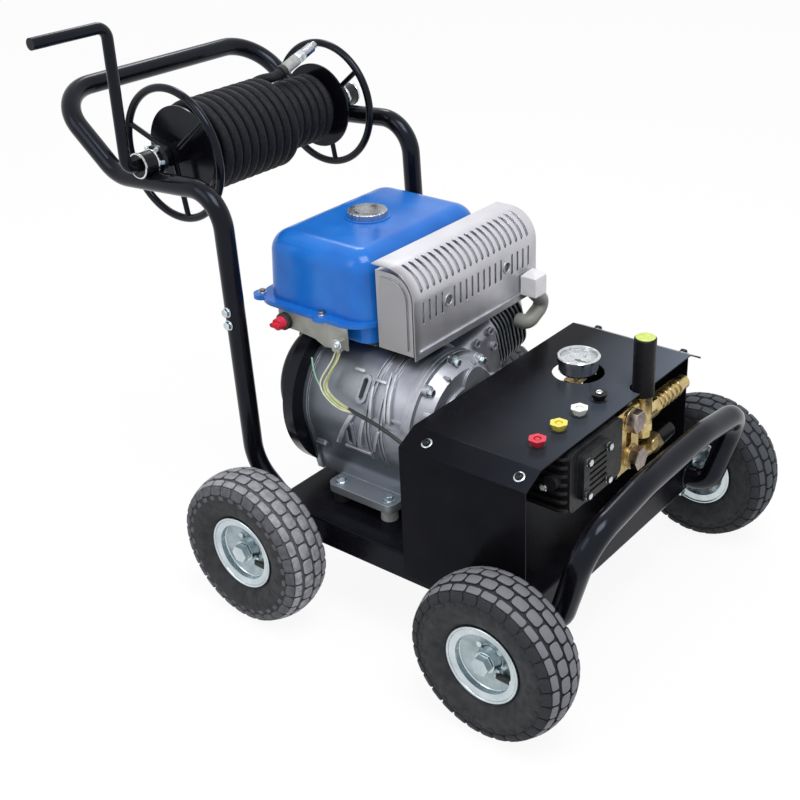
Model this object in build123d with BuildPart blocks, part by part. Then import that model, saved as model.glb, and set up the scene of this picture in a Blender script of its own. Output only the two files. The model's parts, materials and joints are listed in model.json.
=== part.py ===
from build123d import *
import os
from math import cos, radians, sin

os.makedirs("parts", exist_ok=True)

# Driving dimensions, in millimetres. X runs forward from the rear axle, Y to the left of the
# centre line and Z up from the floor. The wheel size sets the scale of everything else.
tyre_r = 130.0
tyre_half = 42.5
rim_lip_r = 61.5
rim_roll = 2.4
bead_r = 50.8
wheelbase = 476.5
track_half = 320.3
axle_r = 10.0
hub_play = 0.05

# Tray and pump cover, both folded from sheet
cover_half = 256.9
sheet = 2.0
plate = 3.0
fold_r = 4.0
tray_rear = -16.6
tray_front = 488.2
tray_top = 176.6
tray_low = 130.5
cover_rear = 261.5
cover_front = 486.1
cover_top = 387.5
cover_bend = 368.2
cover_flat_half = 218.3
left_panel_front = 463.0

# Handle, reel and bumper
tube_r = 16.0
tube_wall = 2.5
handle_half = 230.0
leg_top = 505.0
loop_back = -470.0
loop_z = 782.0
reel_x = -247.5
reel_z = 705.0
ring_r = 106.5
ring_bar = 6.5
ring_y = 180.0
drum_r = 42.0
drum_half = 162.0
shaft_r = 10.0
crank_bar = 9.0
crank_y = -277.0
crank_top = 925.0
crank_tip = -411.0
bumper_r = 19.0

# Engine: the crankshaft lies along X, the cylinder leans over to the left
crank_axis_y = -85.0
crank_axis_z = 328.0
barrel_r = 112.0
case_rear = 8.0
case_front = 222.0
side_cover_front = 256.0
foot_z = 196.0
foot_t = 14.0
foot_x = 127.0
foot_step_x = 100.0
foot_step_y = 205.0
foot_hole_r = 5.5
bore_angle = 14.0
bore_x = 120.0
port_x = 165.0
port_y = 140.0
port_z = 456.0
inlet_y = 147.0
inlet_z = 386.0
oil_spot = (60.0, 240.0)
oil_boss_y = 24.0
oil_r = 10.0
tank_rear = -106.0
tank_front = 122.0
tank_right = -152.0
tank_left = 163.0
tank_seam = 481.0
tank_top = 595.0
tank_corner = 45.0
tank_crown = 36.0
filler_x = 0.0
filler_y = 0.0
well_low = 447.0
guard_rear = 125.0
guard_front = 205.0
guard_right = -140.0
guard_left = 187.0
guard_low = 443.0
guard_top = 588.0

# Pump, gauge and nozzles
pump_front = 503.0
knob_x = 480.0
knob_y = 75.0
gauge_x = 368.0
gauge_y = 66.0
gauge_top = 417.0
nozzle_x = 445.0
nozzle_first_y = -166.0
nozzle_step = 56.0

# The part's origin is the middle of its box on the floor
frame_x = -(loop_back - tube_r + wheelbase + tyre_r) / 2
frame_y = -(crank_tip + track_half + tyre_half) / 2


def spot(x, y, z):
    return (x + frame_x, y + frame_y, z)


def at_x(x, y=0.0, z=0.0):
    return Plane(origin=spot(x, y, z), x_dir=(0, 1, 0), z_dir=(1, 0, 0))


def at_y(y, x=0.0, z=0.0):
    return Plane(origin=spot(x, y, z), x_dir=(1, 0, 0), z_dir=(0, -1, 0))


def at_z(z, x=0.0, y=0.0):
    return Plane(origin=spot(x, y, z))


def across(x, z):
    return Axis(spot(x, 0, z), (0, 1, 0))


def pipe(points, bends, outer, inner):
    with BuildPart() as run:
        with BuildLine() as route:
            FilletPolyline(*points, radius=bends)
        with BuildSketch(Plane(origin=route.line @ 0, z_dir=route.line % 0)):
            Circle(outer)
            if inner > 0:
                Circle(inner, mode=Mode.SUBTRACT)
        sweep()
    return run.part


# Tray: a plate with its four edges turned down, notched where the axles pass under it
tray_half = cover_half - sheet
tray_length = tray_front - tray_rear
tray_corner = 8.0
with BuildPart() as base_tray:
    for inset, mode in ((0.0, Mode.ADD), (plate, Mode.SUBTRACT)):
        with BuildPart(mode=mode) as pan:
            with BuildSketch(at_z(tray_top - inset, tray_rear + tray_length / 2)):
                RectangleRounded(tray_length - 2 * inset, 2 * (tray_half - inset), tray_corner - inset)
            extrude(amount=tray_low - tray_top + inset)
            fillet(pan.faces().sort_by(Axis.Z)[-1].edges(), fold_r - inset)
    with BuildSketch(at_y(0)):
        with Locations((0, tyre_r), (wheelbase, tyre_r)):
            Circle(axle_r + 0.5)
    extrude(amount=cover_half, both=True, mode=Mode.SUBTRACT)
    with BuildSketch(at_z(tray_top, foot_x, crank_axis_y)):
        with GridLocations(foot_step_x, foot_step_y, 2, 2):
            SlotOverall(22, 2 * foot_hole_r)
    extrude(amount=-plate, mode=Mode.SUBTRACT)
base_tray.part.label = "base_tray"
export_step(base_tray.part, "parts/base_tray.step")

# Axles: turned bars with a shoulder inside each wheel and a nut outside it
hub_half = 24.0
nut_t = 10.0
with BuildPart() as axles:
    for axle_x in (0.0, wheelbase):
        with BuildSketch(at_y(0, axle_x, tyre_r)):
            Circle(axle_r)
        extrude(amount=track_half + hub_half + nut_t, both=True)
        for side in (-1, 1):
            with BuildSketch(at_y(side * (track_half - hub_half - 1), axle_x, tyre_r)):
                Circle(axle_r + 4)
            extrude(amount=side * 34)
            with BuildSketch(at_y(side * (track_half + hub_half + 1), axle_x, tyre_r)):
                RegularPolygon(15, 6)
            extrude(amount=-side * (nut_t + 2))
axles.part.label = "axles"
export_step(axles.part, "parts/axles.step")

# Axle clamps: four hangers under the plate
hanger_low = 116.0
with BuildPart() as axle_clamps:
    for side in (-1, 1):
        with BuildSketch(at_y(side * 222)):
            for axle_x, back, front in ((0.0, 12.0, 13.0), (wheelbase, 15.0, 7.0)):
                with Locations((axle_x + (front - back) / 2, (tray_top - plate + hanger_low) / 2)):
                    Rectangle(front + back, tray_top - plate - hanger_low)
                with Locations((axle_x, tyre_r)):
                    Circle(axle_r, mode=Mode.SUBTRACT)
        extrude(amount=-side * 14)
axle_clamps.part.label = "axle_clamps"
export_step(axle_clamps.part, "parts/axle_clamps.step")

# Wheels: a hollow tyre with two ribs of tread, on a pressed rim with a tubular hub
bead_seat = bead_r + 0.3
corners = {
    "rear_right": (0.0, -1),
    "rear_left": (0.0, 1),
    "front_right": (wheelbase, -1),
    "front_left": (wheelbase, 1),
}
for corner, (wheel_x, side) in corners.items():
    wheel_y = side * track_half
    with BuildPart() as tyre:
        with BuildSketch(at_x(wheel_x, wheel_y, tyre_r)):
            with BuildLine():
                for w in (-1, 1):
                    Polyline((w * 17, 60), (w * 17, bead_seat), (w * 26, bead_seat), (w * 28, 63))
                    ThreePointArc((w * 28, 63), (w * tyre_half, 93), (w * 36, 121))
                    ThreePointArc((w * 28, 112), (w * 33, 92), (w * 17, 60))
                ThreePointArc((-36, 121), (0, tyre_r), (36, 121))
                ThreePointArc((-28, 112), (0, 120), (28, 112))
            make_face()
            with Locations((-22, 129), (0, 131), (22, 129)):
                Rectangle(4, 10, mode=Mode.SUBTRACT)
        revolve(axis=across(wheel_x, tyre_r))
    tyre.part.label = f"tyre_{corner}"
    export_step(tyre.part, f"parts/tyre_{corner}.step")

    with BuildPart() as rim:
        with BuildSketch(at_x(wheel_x, wheel_y, tyre_r)):
            with BuildLine():
                Polyline(
                    (0, 41), (-12, 41), (-20, bead_r - 2.4), (-29, bead_r - 2.4), (-32, rim_lip_r),
                    (-29.6, rim_lip_r), (-27, bead_r), (-19, bead_r), (-11, 44), (0, 44),
                    (11, 44), (19, bead_r), (27, bead_r), (29.6, rim_lip_r), (32, rim_lip_r),
                    (29, bead_r - 2.4), (20, bead_r - 2.4), (12, 41), (0, 41), close=False,
                )
            make_face()
            with Locations((-31, rim_lip_r - 1), (31, rim_lip_r - 1)):
                Circle(rim_roll)
            with BuildLine():
                Polyline(
                    (-3 * side, 42), (3 * side, 42), (3 * side, 36), (9 * side, 30), (9 * side, 20),
                    (hub_half * side, 17), (hub_half * side, axle_r + hub_play),
                    (-hub_half * side, axle_r + hub_play), (-hub_half * side, 17), (3 * side, 20),
                    (3 * side, 28), (-3 * side, 34), close=True,
                )
            make_face()
        revolve(axis=across(wheel_x, tyre_r))
        with BuildSketch(at_y(wheel_y + 9 * side, wheel_x, tyre_r)):
            with PolarLocations(25, 4, start_angle=45):
                RegularPolygon(5, 6)
        extrude(amount=-4 * side)
        stem_foot = spot(wheel_x + 46, wheel_y + 19 * side, tyre_r - 18)
        with BuildSketch(Plane(origin=stem_foot, x_dir=(0, 1, 0), z_dir=(-1, 0, 0))):
            Circle(4)
        extrude(amount=30)
    rim.part.label = f"rim_{corner}"
    export_step(rim.part, f"parts/rim_{corner}.step")

# Handle legs: tubes that rise from the tray's rear flange
leg_foot = (-78.0, 216.5)
leg_head = (-88.0, leg_top)
legs = [
    pipe([spot(-4, y, 155), spot(leg_foot[0], y, leg_foot[1]), spot(leg_head[0], y, leg_head[1])],
         [80], tube_r, tube_r - tube_wall)
    for y in (-handle_half, handle_half)
]
with BuildPart() as handle_legs:
    add(legs)
    split(bisect_by=Plane(origin=spot(tray_rear, 0, 0), z_dir=(-1, 0, 0)), keep=Keep.TOP)
handle_legs.part.label = "handle_legs"
export_step(handle_legs.part, "parts/handle_legs.step")

# Handle loop: one bent tube from leg to leg, with a spigot down into each leg
run_high = (leg_head[0] + (leg_head[0] - leg_foot[0]) / (leg_top - leg_foot[1]) * (684 - leg_top), 684.0)
run_low = (-330.0, 669.0)
side_route = [leg_head, run_high, run_low, (loop_back, loop_z)]
loop_points = [spot(x, -handle_half, z) for x, z in side_route]
loop_points += [spot(x, handle_half, z) for x, z in reversed(side_route)]
loop_tube = pipe(loop_points, [60, 70, 75, 75, 70, 60], tube_r, tube_r - tube_wall)
leg_line = Vector(leg_head[0] - leg_foot[0], 0, leg_head[1] - leg_foot[1])
spigot_r = tube_r - tube_wall
with BuildPart() as handle_loop:
    add(loop_tube)
    for y in (-handle_half, handle_half):
        with BuildSketch(Plane(origin=spot(leg_head[0], y, leg_head[1]), z_dir=leg_line)):
            Circle(spigot_r)
            Circle(spigot_r - tube_wall, mode=Mode.SUBTRACT)
        extrude(amount=20)
        with BuildSketch(Plane(origin=spot(leg_head[0], y, leg_head[1]), z_dir=leg_line)):
            Circle(spigot_r - 0.2)
            Circle(spigot_r - tube_wall, mode=Mode.SUBTRACT)
        extrude(amount=-50)
handle_loop.part.label = "handle_loop"
export_step(handle_loop.part, "parts/handle_loop.step")

# Bumper: a bowed bar whose ends bend down and back to the tray's front flange
bumper_half = 232.0
bumper_side = [(tray_front, 154), (528, 154), (572, 306)]
bumper_points = [spot(x, -bumper_half, z) for x, z in bumper_side]
bumper_points += [spot(577, -90, 330), spot(577, 90, 330)]
bumper_points += [spot(x, bumper_half, z) for x, z in reversed(bumper_side)]
bumper_pipe = pipe(bumper_points, [36, 60, 220, 220, 60, 36], bumper_r, bumper_r - tube_wall)
with BuildPart() as bumper_tube:
    add(bumper_pipe)
bumper_tube.part.label = "bumper_tube"
export_step(bumper_tube.part, "parts/bumper_tube.step")

# Pump cover: top, two sloping strips and two sides, open at the front, the rear and below
cover_low = tyre_r + axle_r + 2
notch_r = 21.0
with BuildPart() as pump_cover:
    with BuildSketch(at_x(cover_rear)):
        with BuildLine():
            FilletPolyline(
                (-cover_half, cover_low), (-cover_half, cover_bend), (-cover_flat_half, cover_top),
                (cover_flat_half, cover_top), (cover_half, cover_bend), (cover_half, cover_low),
                radius=fold_r,
            )
            offset(amount=-sheet, side=Side.RIGHT)
        make_face()
    extrude(amount=cover_front - cover_rear)
    with BuildSketch(at_y(cover_half + 1, cover_front, cover_bend)):
        step_back = 2 * (cover_front - left_panel_front)
        Rectangle(step_back, 2 * (cover_bend - cover_low), align=(Align.CENTER, Align.MAX))
    extrude(amount=sheet + 1, mode=Mode.SUBTRACT)
    with BuildSketch(at_z(cover_top + 1)):
        with Locations((gauge_x, gauge_y)):
            Circle(42)
        with Locations((knob_x, knob_y)):
            Circle(notch_r)
            Rectangle(2 * (cover_front - knob_x), 2 * notch_r)
        for i in range(4):
            with Locations((nozzle_x, nozzle_first_y + i * nozzle_step)):
                Circle(11)
    extrude(amount=-sheet - 6, mode=Mode.SUBTRACT)
pump_cover.part.label = "pump_cover"
export_step(pump_cover.part, "parts/pump_cover.step")

# Frame bolts: button heads on the cover strips, bolts through the handle joints and the engine's feet
strip_mid_y = (cover_half + cover_flat_half) / 2
strip_mid_z = (cover_top + cover_bend) / 2
with BuildPart() as frame_bolts:
    for side in (-1, 1):
        lean = Vector(0, side * (cover_top - cover_bend), cover_half - cover_flat_half)
        for x in (300.0, 463.0):
            with BuildSketch(Plane(origin=spot(x, side * strip_mid_y, strip_mid_z), z_dir=lean)):
                Circle(7.5)
            extrude(amount=4)
        for x, z in ((-88, 492), (-87, 470)):
            with BuildSketch(at_y(side * (handle_half + tube_r), x, z)):
                RegularPolygon(7, 6)
            extrude(amount=-side * 6)
    for low, high, radius, sides in (
        (foot_z + foot_t, foot_z + foot_t + 7, 9.5, 6),
        (tray_top - plate - 14, foot_z + foot_t, foot_hole_r - 0.3, 0),
        (tray_top - plate - 9, tray_top - plate, 9.5, 6),
    ):
        with BuildSketch(at_z(low, foot_x, crank_axis_y)):
            with GridLocations(foot_step_x, foot_step_y, 2, 2):
                if sides:
                    RegularPolygon(radius, sides)
                else:
                    Circle(radius)
        extrude(amount=high - low)
frame_bolts.part.label = "frame_bolts"
export_step(frame_bolts.part, "parts/frame_bolts.step")

# Engine mounts: four bushes between the tray and the engine's feet
with BuildPart() as engine_mounts:
    with BuildSketch(at_z(tray_top, foot_x, crank_axis_y)):
        with GridLocations(foot_step_x, foot_step_y, 2, 2):
            Circle(14)
            Circle(foot_hole_r, mode=Mode.SUBTRACT)
    extrude(amount=foot_z - tray_top)
engine_mounts.part.label = "engine_mounts"
export_step(engine_mounts.part, "parts/engine_mounts.step")


def along_bore(reach):
    c = cos(radians(bore_angle))
    s = sin(radians(bore_angle))
    centre = spot(bore_x, crank_axis_y + reach * c, crank_axis_z + reach * s)
    return Plane(origin=centre, x_dir=(1, 0, 0), z_dir=(0, c, s))


bore_line = Axis(along_bore(0).origin, along_bore(0).z_dir)


def case_outline(shrink, drop):
    r = barrel_r - shrink
    with BuildSketch(mode=Mode.PRIVATE) as outline:
        Circle(r)
        with BuildLine():
            Polyline(
                (-r * 0.94, -r * 0.34), (-84 + shrink, -drop), (90 - shrink, -drop),
                (r * 0.94, -r * 0.34), close=True,
            )
        make_face()
    return outline.sketch


def on_barrel(turn, x, radius):
    c = cos(radians(turn))
    s = sin(radians(turn))
    centre = spot(x, crank_axis_y - radius * c, crank_axis_z + radius * s)
    return Plane(origin=centre, x_dir=(1, 0, 0), z_dir=(0, -c, s))


# Crankcase: a round barrel with circling ribs and two framed windows, on a footed base, cast in one
# with the cylinder's block and fins
block_reach = 180.0
deck = 214.0
fin_pitch = 8.6
fin_t = 3.2
fin_x = 150.0
fin_y = 128.0
fin_corner = 44.0
barrel_wall = 4.0
base_drop = 122.0
drive_r = 12.7
windows = ((34.0, 127.0), (-9.0, 108.0))
block_bosses = ((168.0, 14.0), (166.0, 46.0), (128.0, 47.0), (152.0, -40.0))
with BuildPart() as crankcase:
    with BuildSketch(at_x(case_rear, crank_axis_y, crank_axis_z)):
        add(case_outline(barrel_wall, base_drop))
    extrude(amount=case_front - case_rear)
    for flange_x, flange_t in ((case_rear, 12), (case_front - 9, 9)):
        with BuildSketch(at_x(flange_x, crank_axis_y, crank_axis_z)):
            add(case_outline(0, base_drop))
        extrude(amount=flange_t)
    for rib_x in (141, 148, 167, 174):
        with BuildSketch(at_x(rib_x, crank_axis_y, crank_axis_z)):
            Circle(barrel_r)
        extrude(amount=3.5)
    with BuildSketch(at_z(foot_z, foot_x, crank_axis_y)):
        RectangleRounded(foot_step_x + 36, foot_step_y + 35, 14)
    extrude(amount=foot_t)
    with BuildSketch(along_bore(40)):
        RectangleRounded(fin_x, fin_y - 14, 20)
    extrude(amount=block_reach - 40)
    with BuildSketch(along_bore(block_reach)):
        RectangleRounded(fin_x - 26, fin_y - 28, 30)
    extrude(amount=deck - block_reach)
    for i in range(4):
        with BuildSketch(along_bore(block_reach + 4 + i * fin_pitch)):
            RectangleRounded(fin_x, fin_y, fin_corner)
        extrude(amount=fin_t)
    with BuildSketch(Plane(origin=along_bore(0).origin + Vector(fin_x / 2, 0, 0), x_dir=along_bore(0).z_dir,
                           z_dir=(1, 0, 0))):
        with Locations(*block_bosses):
            Circle(8)
            Circle(4.5, mode=Mode.SUBTRACT)
    extrude(amount=5)
    for turn, x in windows:
        with BuildSketch(on_barrel(turn, x, barrel_r - 8)):
            SlotOverall(48, 20, rotation=90)
        extrude(amount=7)
        with BuildSketch(on_barrel(turn, x, barrel_r + 2)):
            SlotOverall(36, 9, rotation=90)
        extrude(amount=-18, mode=Mode.SUBTRACT)
    for turn in (17, 7):
        with BuildSketch(on_barrel(turn, 196, barrel_r - 8)):
            Rectangle(34, 4)
        extrude(amount=7)
    with BuildSketch(on_barrel(-38, 33, barrel_r - 8)):
        RectangleRounded(26, 30, 6)
    extrude(amount=14)
    with BuildSketch(at_z(foot_z, foot_x, crank_axis_y)):
        with GridLocations(foot_step_x, foot_step_y, 2, 2):
            Circle(foot_hole_r)
    extrude(amount=foot_t + 10, mode=Mode.SUBTRACT)
    with BuildSketch(at_x(case_rear - 1, crank_axis_y, crank_axis_z)):
        Circle(drive_r + hub_play)
    extrude(amount=case_front, mode=Mode.SUBTRACT)
    with BuildSketch(at_z(crank_axis_z + barrel_r - 14, 75, crank_axis_y)):
        RectangleRounded(60, 60, 6)
    extrude(amount=well_low - crank_axis_z - barrel_r + 14)
    with BuildSketch(at_y(oil_boss_y, *oil_spot)):
        Circle(oil_r + 6)
    extrude(amount=40)
    with BuildSketch(at_y(oil_boss_y, *oil_spot)):
        Circle(oil_r + hub_play)
    extrude(amount=14, mode=Mode.SUBTRACT)
crankcase.part.label = "crankcase"
export_step(crankcase.part, "parts/crankcase.step")

# Side cover on the drive end: a flanged bell with bolt bosses, ribs and a hump over the shaft's bearing
bell_rear = case_front + 8
hump = (26.0, 60.0)
with BuildPart() as crankcase_cover:
    with BuildSketch(at_x(case_front, crank_axis_y, crank_axis_z)):
        add(case_outline(0, base_drop - 6))
    extrude(amount=bell_rear - case_front)
    with BuildSketch(at_x(bell_rear, crank_axis_y, crank_axis_z)):
        Circle(barrel_r - 9)
    extrude(amount=side_cover_front - bell_rear - 4, taper=30)
    with BuildSketch(at_x(bell_rear, crank_axis_y, crank_axis_z)):
        Circle(62)
        with Locations(hump):
            Circle(27)
    extrude(amount=side_cover_front - bell_rear)
    with BuildSketch(at_x(bell_rear, crank_axis_y, crank_axis_z)):
        with PolarLocations(barrel_r - 9, 9, start_angle=10):
            Circle(9.5)
    extrude(amount=9)
    with BuildSketch(at_x(bell_rear, crank_axis_y, crank_axis_z)):
        with PolarLocations(82, 9, start_angle=30):
            Rectangle(30, 5)
    extrude(amount=22)
    with BuildSketch(at_x(bell_rear + 20, crank_axis_y, crank_axis_z)):
        with PolarLocations(barrel_r - 9, 9, start_angle=10):
            Circle(5)
    extrude(amount=-16, mode=Mode.SUBTRACT)
    with BuildSketch(at_x(case_front - 1, crank_axis_y, crank_axis_z)):
        Circle(drive_r + hub_play)
    extrude(amount=40, mode=Mode.SUBTRACT)
crankcase_cover.part.label = "crankcase_cover"
export_step(crankcase_cover.part, "parts/crankcase_cover.step")

# Cylinder head: finned block with a pad for the silencer's pipe and an inlet stub to the rear
head_top = 264.0
stub_rear = 30.0
with BuildPart() as cylinder_head:
    with BuildSketch(along_bore(deck)):
        RectangleRounded(fin_x - 24, fin_y - 24, 30)
    extrude(amount=head_top - deck)
    for i in range(5):
        with BuildSketch(along_bore(deck + 4 + i * 10)):
            RectangleRounded(fin_x, fin_y, fin_corner)
        extrude(amount=fin_t)
    with BuildSketch(at_z(port_z, port_x, port_y)):
        Circle(18)
    extrude(amount=-36)
    with BuildSketch(at_x(bore_x, inlet_y, inlet_z)):
        Circle(16)
    extrude(amount=stub_rear - bore_x)
cylinder_head.part.label = "cylinder_head"
export_step(cylinder_head.part, "parts/cylinder_head.step")

# Rocker cover: a domed pressing on the end of the head
with BuildPart() as rocker_cover:
    with BuildSketch(along_bore(head_top)):
        RectangleRounded(112, 90, 16)
    extrude(amount=5)
    with BuildSketch(along_bore(head_top + 5)):
        RectangleRounded(96, 76, 18)
    extrude(amount=34, taper=6)
    fillet(rocker_cover.faces().sort_by(bore_line)[-1].edges(), 8)
rocker_cover.part.label = "rocker_cover"
export_step(rocker_cover.part, "parts/rocker_cover.step")

# Plug cap: a chamfered hood on a boot that bulges out from the head and turns up
plug_face = bore_x + fin_x / 2
hood_x = 222.0
hood_y = 155.0
hood_low = 455.0
hood_h = 41.0
boot_r = 13.0
boot_line = [
    spot(plug_face, 148, 402), spot(plug_face + 21, 148, 402), spot(220, 190, 426),
    spot(hood_x, hood_y, hood_low + 4),
]
boot = pipe(boot_line, [12, 14], boot_r, 0)
with BuildPart() as plug_cap:
    add(boot)
    with BuildSketch(at_z(hood_low, hood_x, hood_y)):
        Rectangle(30, 32)
    extrude(amount=hood_h)
    chamfer(plug_cap.faces().sort_by(Axis.Z)[-1].edges(), 8)
plug_cap.part.label = "plug_cap"
export_step(plug_cap.part, "parts/plug_cap.step")


# Silencer: a hollow can, shallower over the cylinder, on a short flanged pipe from the head
def can_outline(inset):
    with BuildSketch(mode=Mode.PRIVATE) as outline:
        with BuildLine():
            Polyline((157, 576 - inset), (can_rear + inset, 576 - inset), (can_rear + inset, 446 + inset),
                     (can_front - inset, 446 + inset), (can_front - inset, 536))
            RadiusArc((can_front - inset, 536), (157, 576 - inset), -(40 - inset))
        make_face()
    return outline.sketch


slot_step = 15.6
guard_mid = (guard_left + guard_right) / 2
can_rear = 128.0
can_front = 197.0
can_wall = 2.0
can_left = 183.0
can_length = 318.0
panel_t = 3.0
step_y = 25.0
step_z = 484.0
with BuildPart() as muffler:
    for inset, mode in ((0.0, Mode.ADD), (can_wall, Mode.SUBTRACT)):
        with BuildSketch(at_y(can_left - inset)):
            add(can_outline(inset))
        extrude(amount=can_length - 2 * inset, mode=mode)
        if inset == 0.0:
            with BuildSketch(at_y(can_left + 1, 160, (step_z + 440) / 2)):
                Rectangle(100, step_z - 440)
            extrude(amount=can_left + 1 - step_y, mode=Mode.SUBTRACT)
        else:
            with BuildSketch(at_y(can_left, (can_rear + can_front) / 2, step_z + can_wall / 2)):
                Rectangle(can_front - can_rear, can_wall)
            extrude(amount=can_left - step_y + can_wall)
            with BuildSketch(at_y(step_y, (can_rear + can_front) / 2, (446 + step_z) / 2)):
                Rectangle(can_front - can_rear, step_z - 446)
            extrude(amount=can_wall)
    with BuildSketch(at_y(can_left - can_length)):
        add(can_outline(9))
    extrude(amount=panel_t)
    with BuildSketch(at_z(port_z, port_x, port_y)):
        Circle(20)
    extrude(amount=6)
    with BuildSketch(at_z(port_z, port_x, port_y)):
        Circle(13)
    extrude(amount=step_z - port_z)
    with BuildSketch(at_x(can_front, guard_mid, 512)):
        with GridLocations(15 * slot_step, 36, 2, 2):
            Circle(4)
    extrude(amount=guard_front - sheet - can_front)
muffler.part.label = "muffler"
export_step(muffler.part, "parts/muffler.step")

# Silencer guard: one sheet rolled over the top, pierced by two rows of slots and two round eyes
slot_count = 19
slot_mid = slot_count // 2
eye_steps = 5
guard_bend = 50.0
with BuildPart() as muffler_guard:
    with BuildSketch(at_y(guard_left)):
        with BuildLine():
            bend_low = (guard_front, guard_top - guard_bend)
            bend_high = (guard_front - guard_bend, guard_top)
            Line((guard_front, guard_low), bend_low)
            RadiusArc(bend_low, bend_high, -guard_bend)
            Line(bend_high, (guard_rear, guard_top))
            offset(amount=-sheet, side=Side.LEFT)
        make_face()
    extrude(amount=guard_left - guard_right)
    with BuildSketch(at_x(guard_front - 1, guard_mid, 453)):
        RectangleRounded(guard_left - guard_right - 20, 5, 2)
    extrude(amount=3)
    with BuildSketch(at_x(guard_front - 8, guard_mid, 516)):
        for i in range(slot_count):
            with Locations(((i - slot_mid) * slot_step, 0)):
                if abs(i - slot_mid) == eye_steps:
                    Circle(8)
                else:
                    SlotOverall(36, 5, rotation=90)
    extrude(amount=20, mode=Mode.SUBTRACT)
    bend_plane = Plane(
        origin=spot(guard_front - guard_bend * 0.293, guard_mid, guard_top - guard_bend * 0.293),
        x_dir=(0, 1, 0), z_dir=(1, 0, 1),
    )
    with BuildSketch(bend_plane):
        with GridLocations(slot_step, 0, slot_count, 1):
            SlotOverall(52, 7, rotation=90)
    extrude(amount=16, both=True, mode=Mode.SUBTRACT)
muffler_guard.part.label = "muffler_guard"
export_step(muffler_guard.part, "parts/muffler_guard.step")


# Fuel tank: two pressed halves joined at a flange, hollow inside, with a filler neck on top
tank_mid_x = (tank_rear + tank_front) / 2
tank_mid_y = (tank_right + tank_left) / 2
well_x = (25.0, 118.0)
well_y = (-142.0, 18.0)
neck_r = 24.0
neck_top = tank_top + 8
lip_top = tank_top + 1.5
flange_t = 8.0
tank_ears = ((-110.0, -146.0), (31.0, -158.0), (-60.0, tank_left + 8), (61.0, tank_left + 8))


def tank_form(inset):
    with BuildPart(mode=Mode.PRIVATE) as form:
        with BuildSketch(at_z(tank_seam + inset, tank_mid_x, tank_mid_y)):
            length = tank_front - tank_rear - 2 * inset
            RectangleRounded(length, tank_left - tank_right - 2 * inset, tank_corner - inset)
        extrude(amount=tank_top - tank_seam - 2 * inset, taper=3)
        fillet(form.faces().sort_by(Axis.Z)[-1].edges(), tank_crown - inset)
        with BuildSketch(at_z(well_low + inset, sum(well_x) / 2, sum(well_y) / 2)):
            RectangleRounded(well_x[1] - well_x[0] - 2 * inset, well_y[1] - well_y[0] - 2 * inset, 24 - inset)
        extrude(amount=tank_seam - well_low + 1)
    return form.part


tank_shell = tank_form(0.0)
tank_void = tank_form(1.5)
with BuildPart() as fuel_tank:
    add(tank_shell)
    with BuildSketch(at_z(tank_seam - flange_t / 2, tank_mid_x - 6, tank_mid_y)):
        RectangleRounded(tank_front - tank_rear + 16, tank_left - tank_right + 28, tank_corner + 7)
    with BuildSketch(at_z(tank_seam - flange_t / 2)):
        with Locations(*tank_ears):
            Circle(15)
    extrude(amount=flange_t)
    with BuildSketch(at_z(tank_top - 1, filler_x, filler_y)):
        Circle(38)
    extrude(amount=lip_top - tank_top + 1)
    with BuildSketch(at_z(tank_top, filler_x, filler_y)):
        Circle(neck_r)
    extrude(amount=neck_top - tank_top)
    add(tank_void, mode=Mode.SUBTRACT)
fuel_tank.part.label = "fuel_tank"
export_step(fuel_tank.part, "parts/fuel_tank.step")

# Fuel cap: a fluted metal cup over the neck
cap_low = lip_top + 0.3
cap_rim = 9.0
with BuildPart() as fuel_cap:
    with BuildSketch(at_z(cap_low, filler_x, filler_y)):
        Circle(33)
        with PolarLocations(34.5, 24):
            Circle(2.4, mode=Mode.SUBTRACT)
    extrude(amount=cap_rim)
    fillet(fuel_cap.faces().sort_by(Axis.Z)[-1].edges(), 1.2)
    with BuildSketch(at_z(cap_low + cap_rim, filler_x, filler_y)):
        Circle(22)
    extrude(amount=1.2)
    with BuildSketch(at_z(tank_top, filler_x, filler_y)):
        Circle(neck_r + hub_play)
    extrude(amount=neck_top - tank_top + 0.5, mode=Mode.SUBTRACT)
fuel_cap.part.label = "fuel_cap"
export_step(fuel_cap.part, "parts/fuel_cap.step")

# Fan housing: a round pressing behind the crankcase, cut out round the footed base
crank_line = Axis(spot(0, crank_axis_y, crank_axis_z), (1, 0, 0))
fan_r = 137.0
with BuildPart() as fan_housing:
    with BuildSketch(at_y(crank_axis_y, 0, crank_axis_z)):
        with BuildLine():
            Polyline((-20, 95), (-20, 124), (-9, fan_r), (12, fan_r), (12, barrel_r + 0.1),
                     (9.5, barrel_r + 0.1), (9.5, fan_r - 2.5), (-8, fan_r - 2.5), (-17.5, 123),
                     (-17.5, 95), close=True)
        make_face()
    revolve(axis=crank_line)
    with BuildSketch(at_x(case_rear - 0.3, crank_axis_y, crank_axis_z)):
        add(case_outline(-0.3, 122.3))
    extrude(amount=8, mode=Mode.SUBTRACT)
fan_housing.part.label = "fan_housing"
export_step(fan_housing.part, "parts/fan_housing.step")

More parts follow.
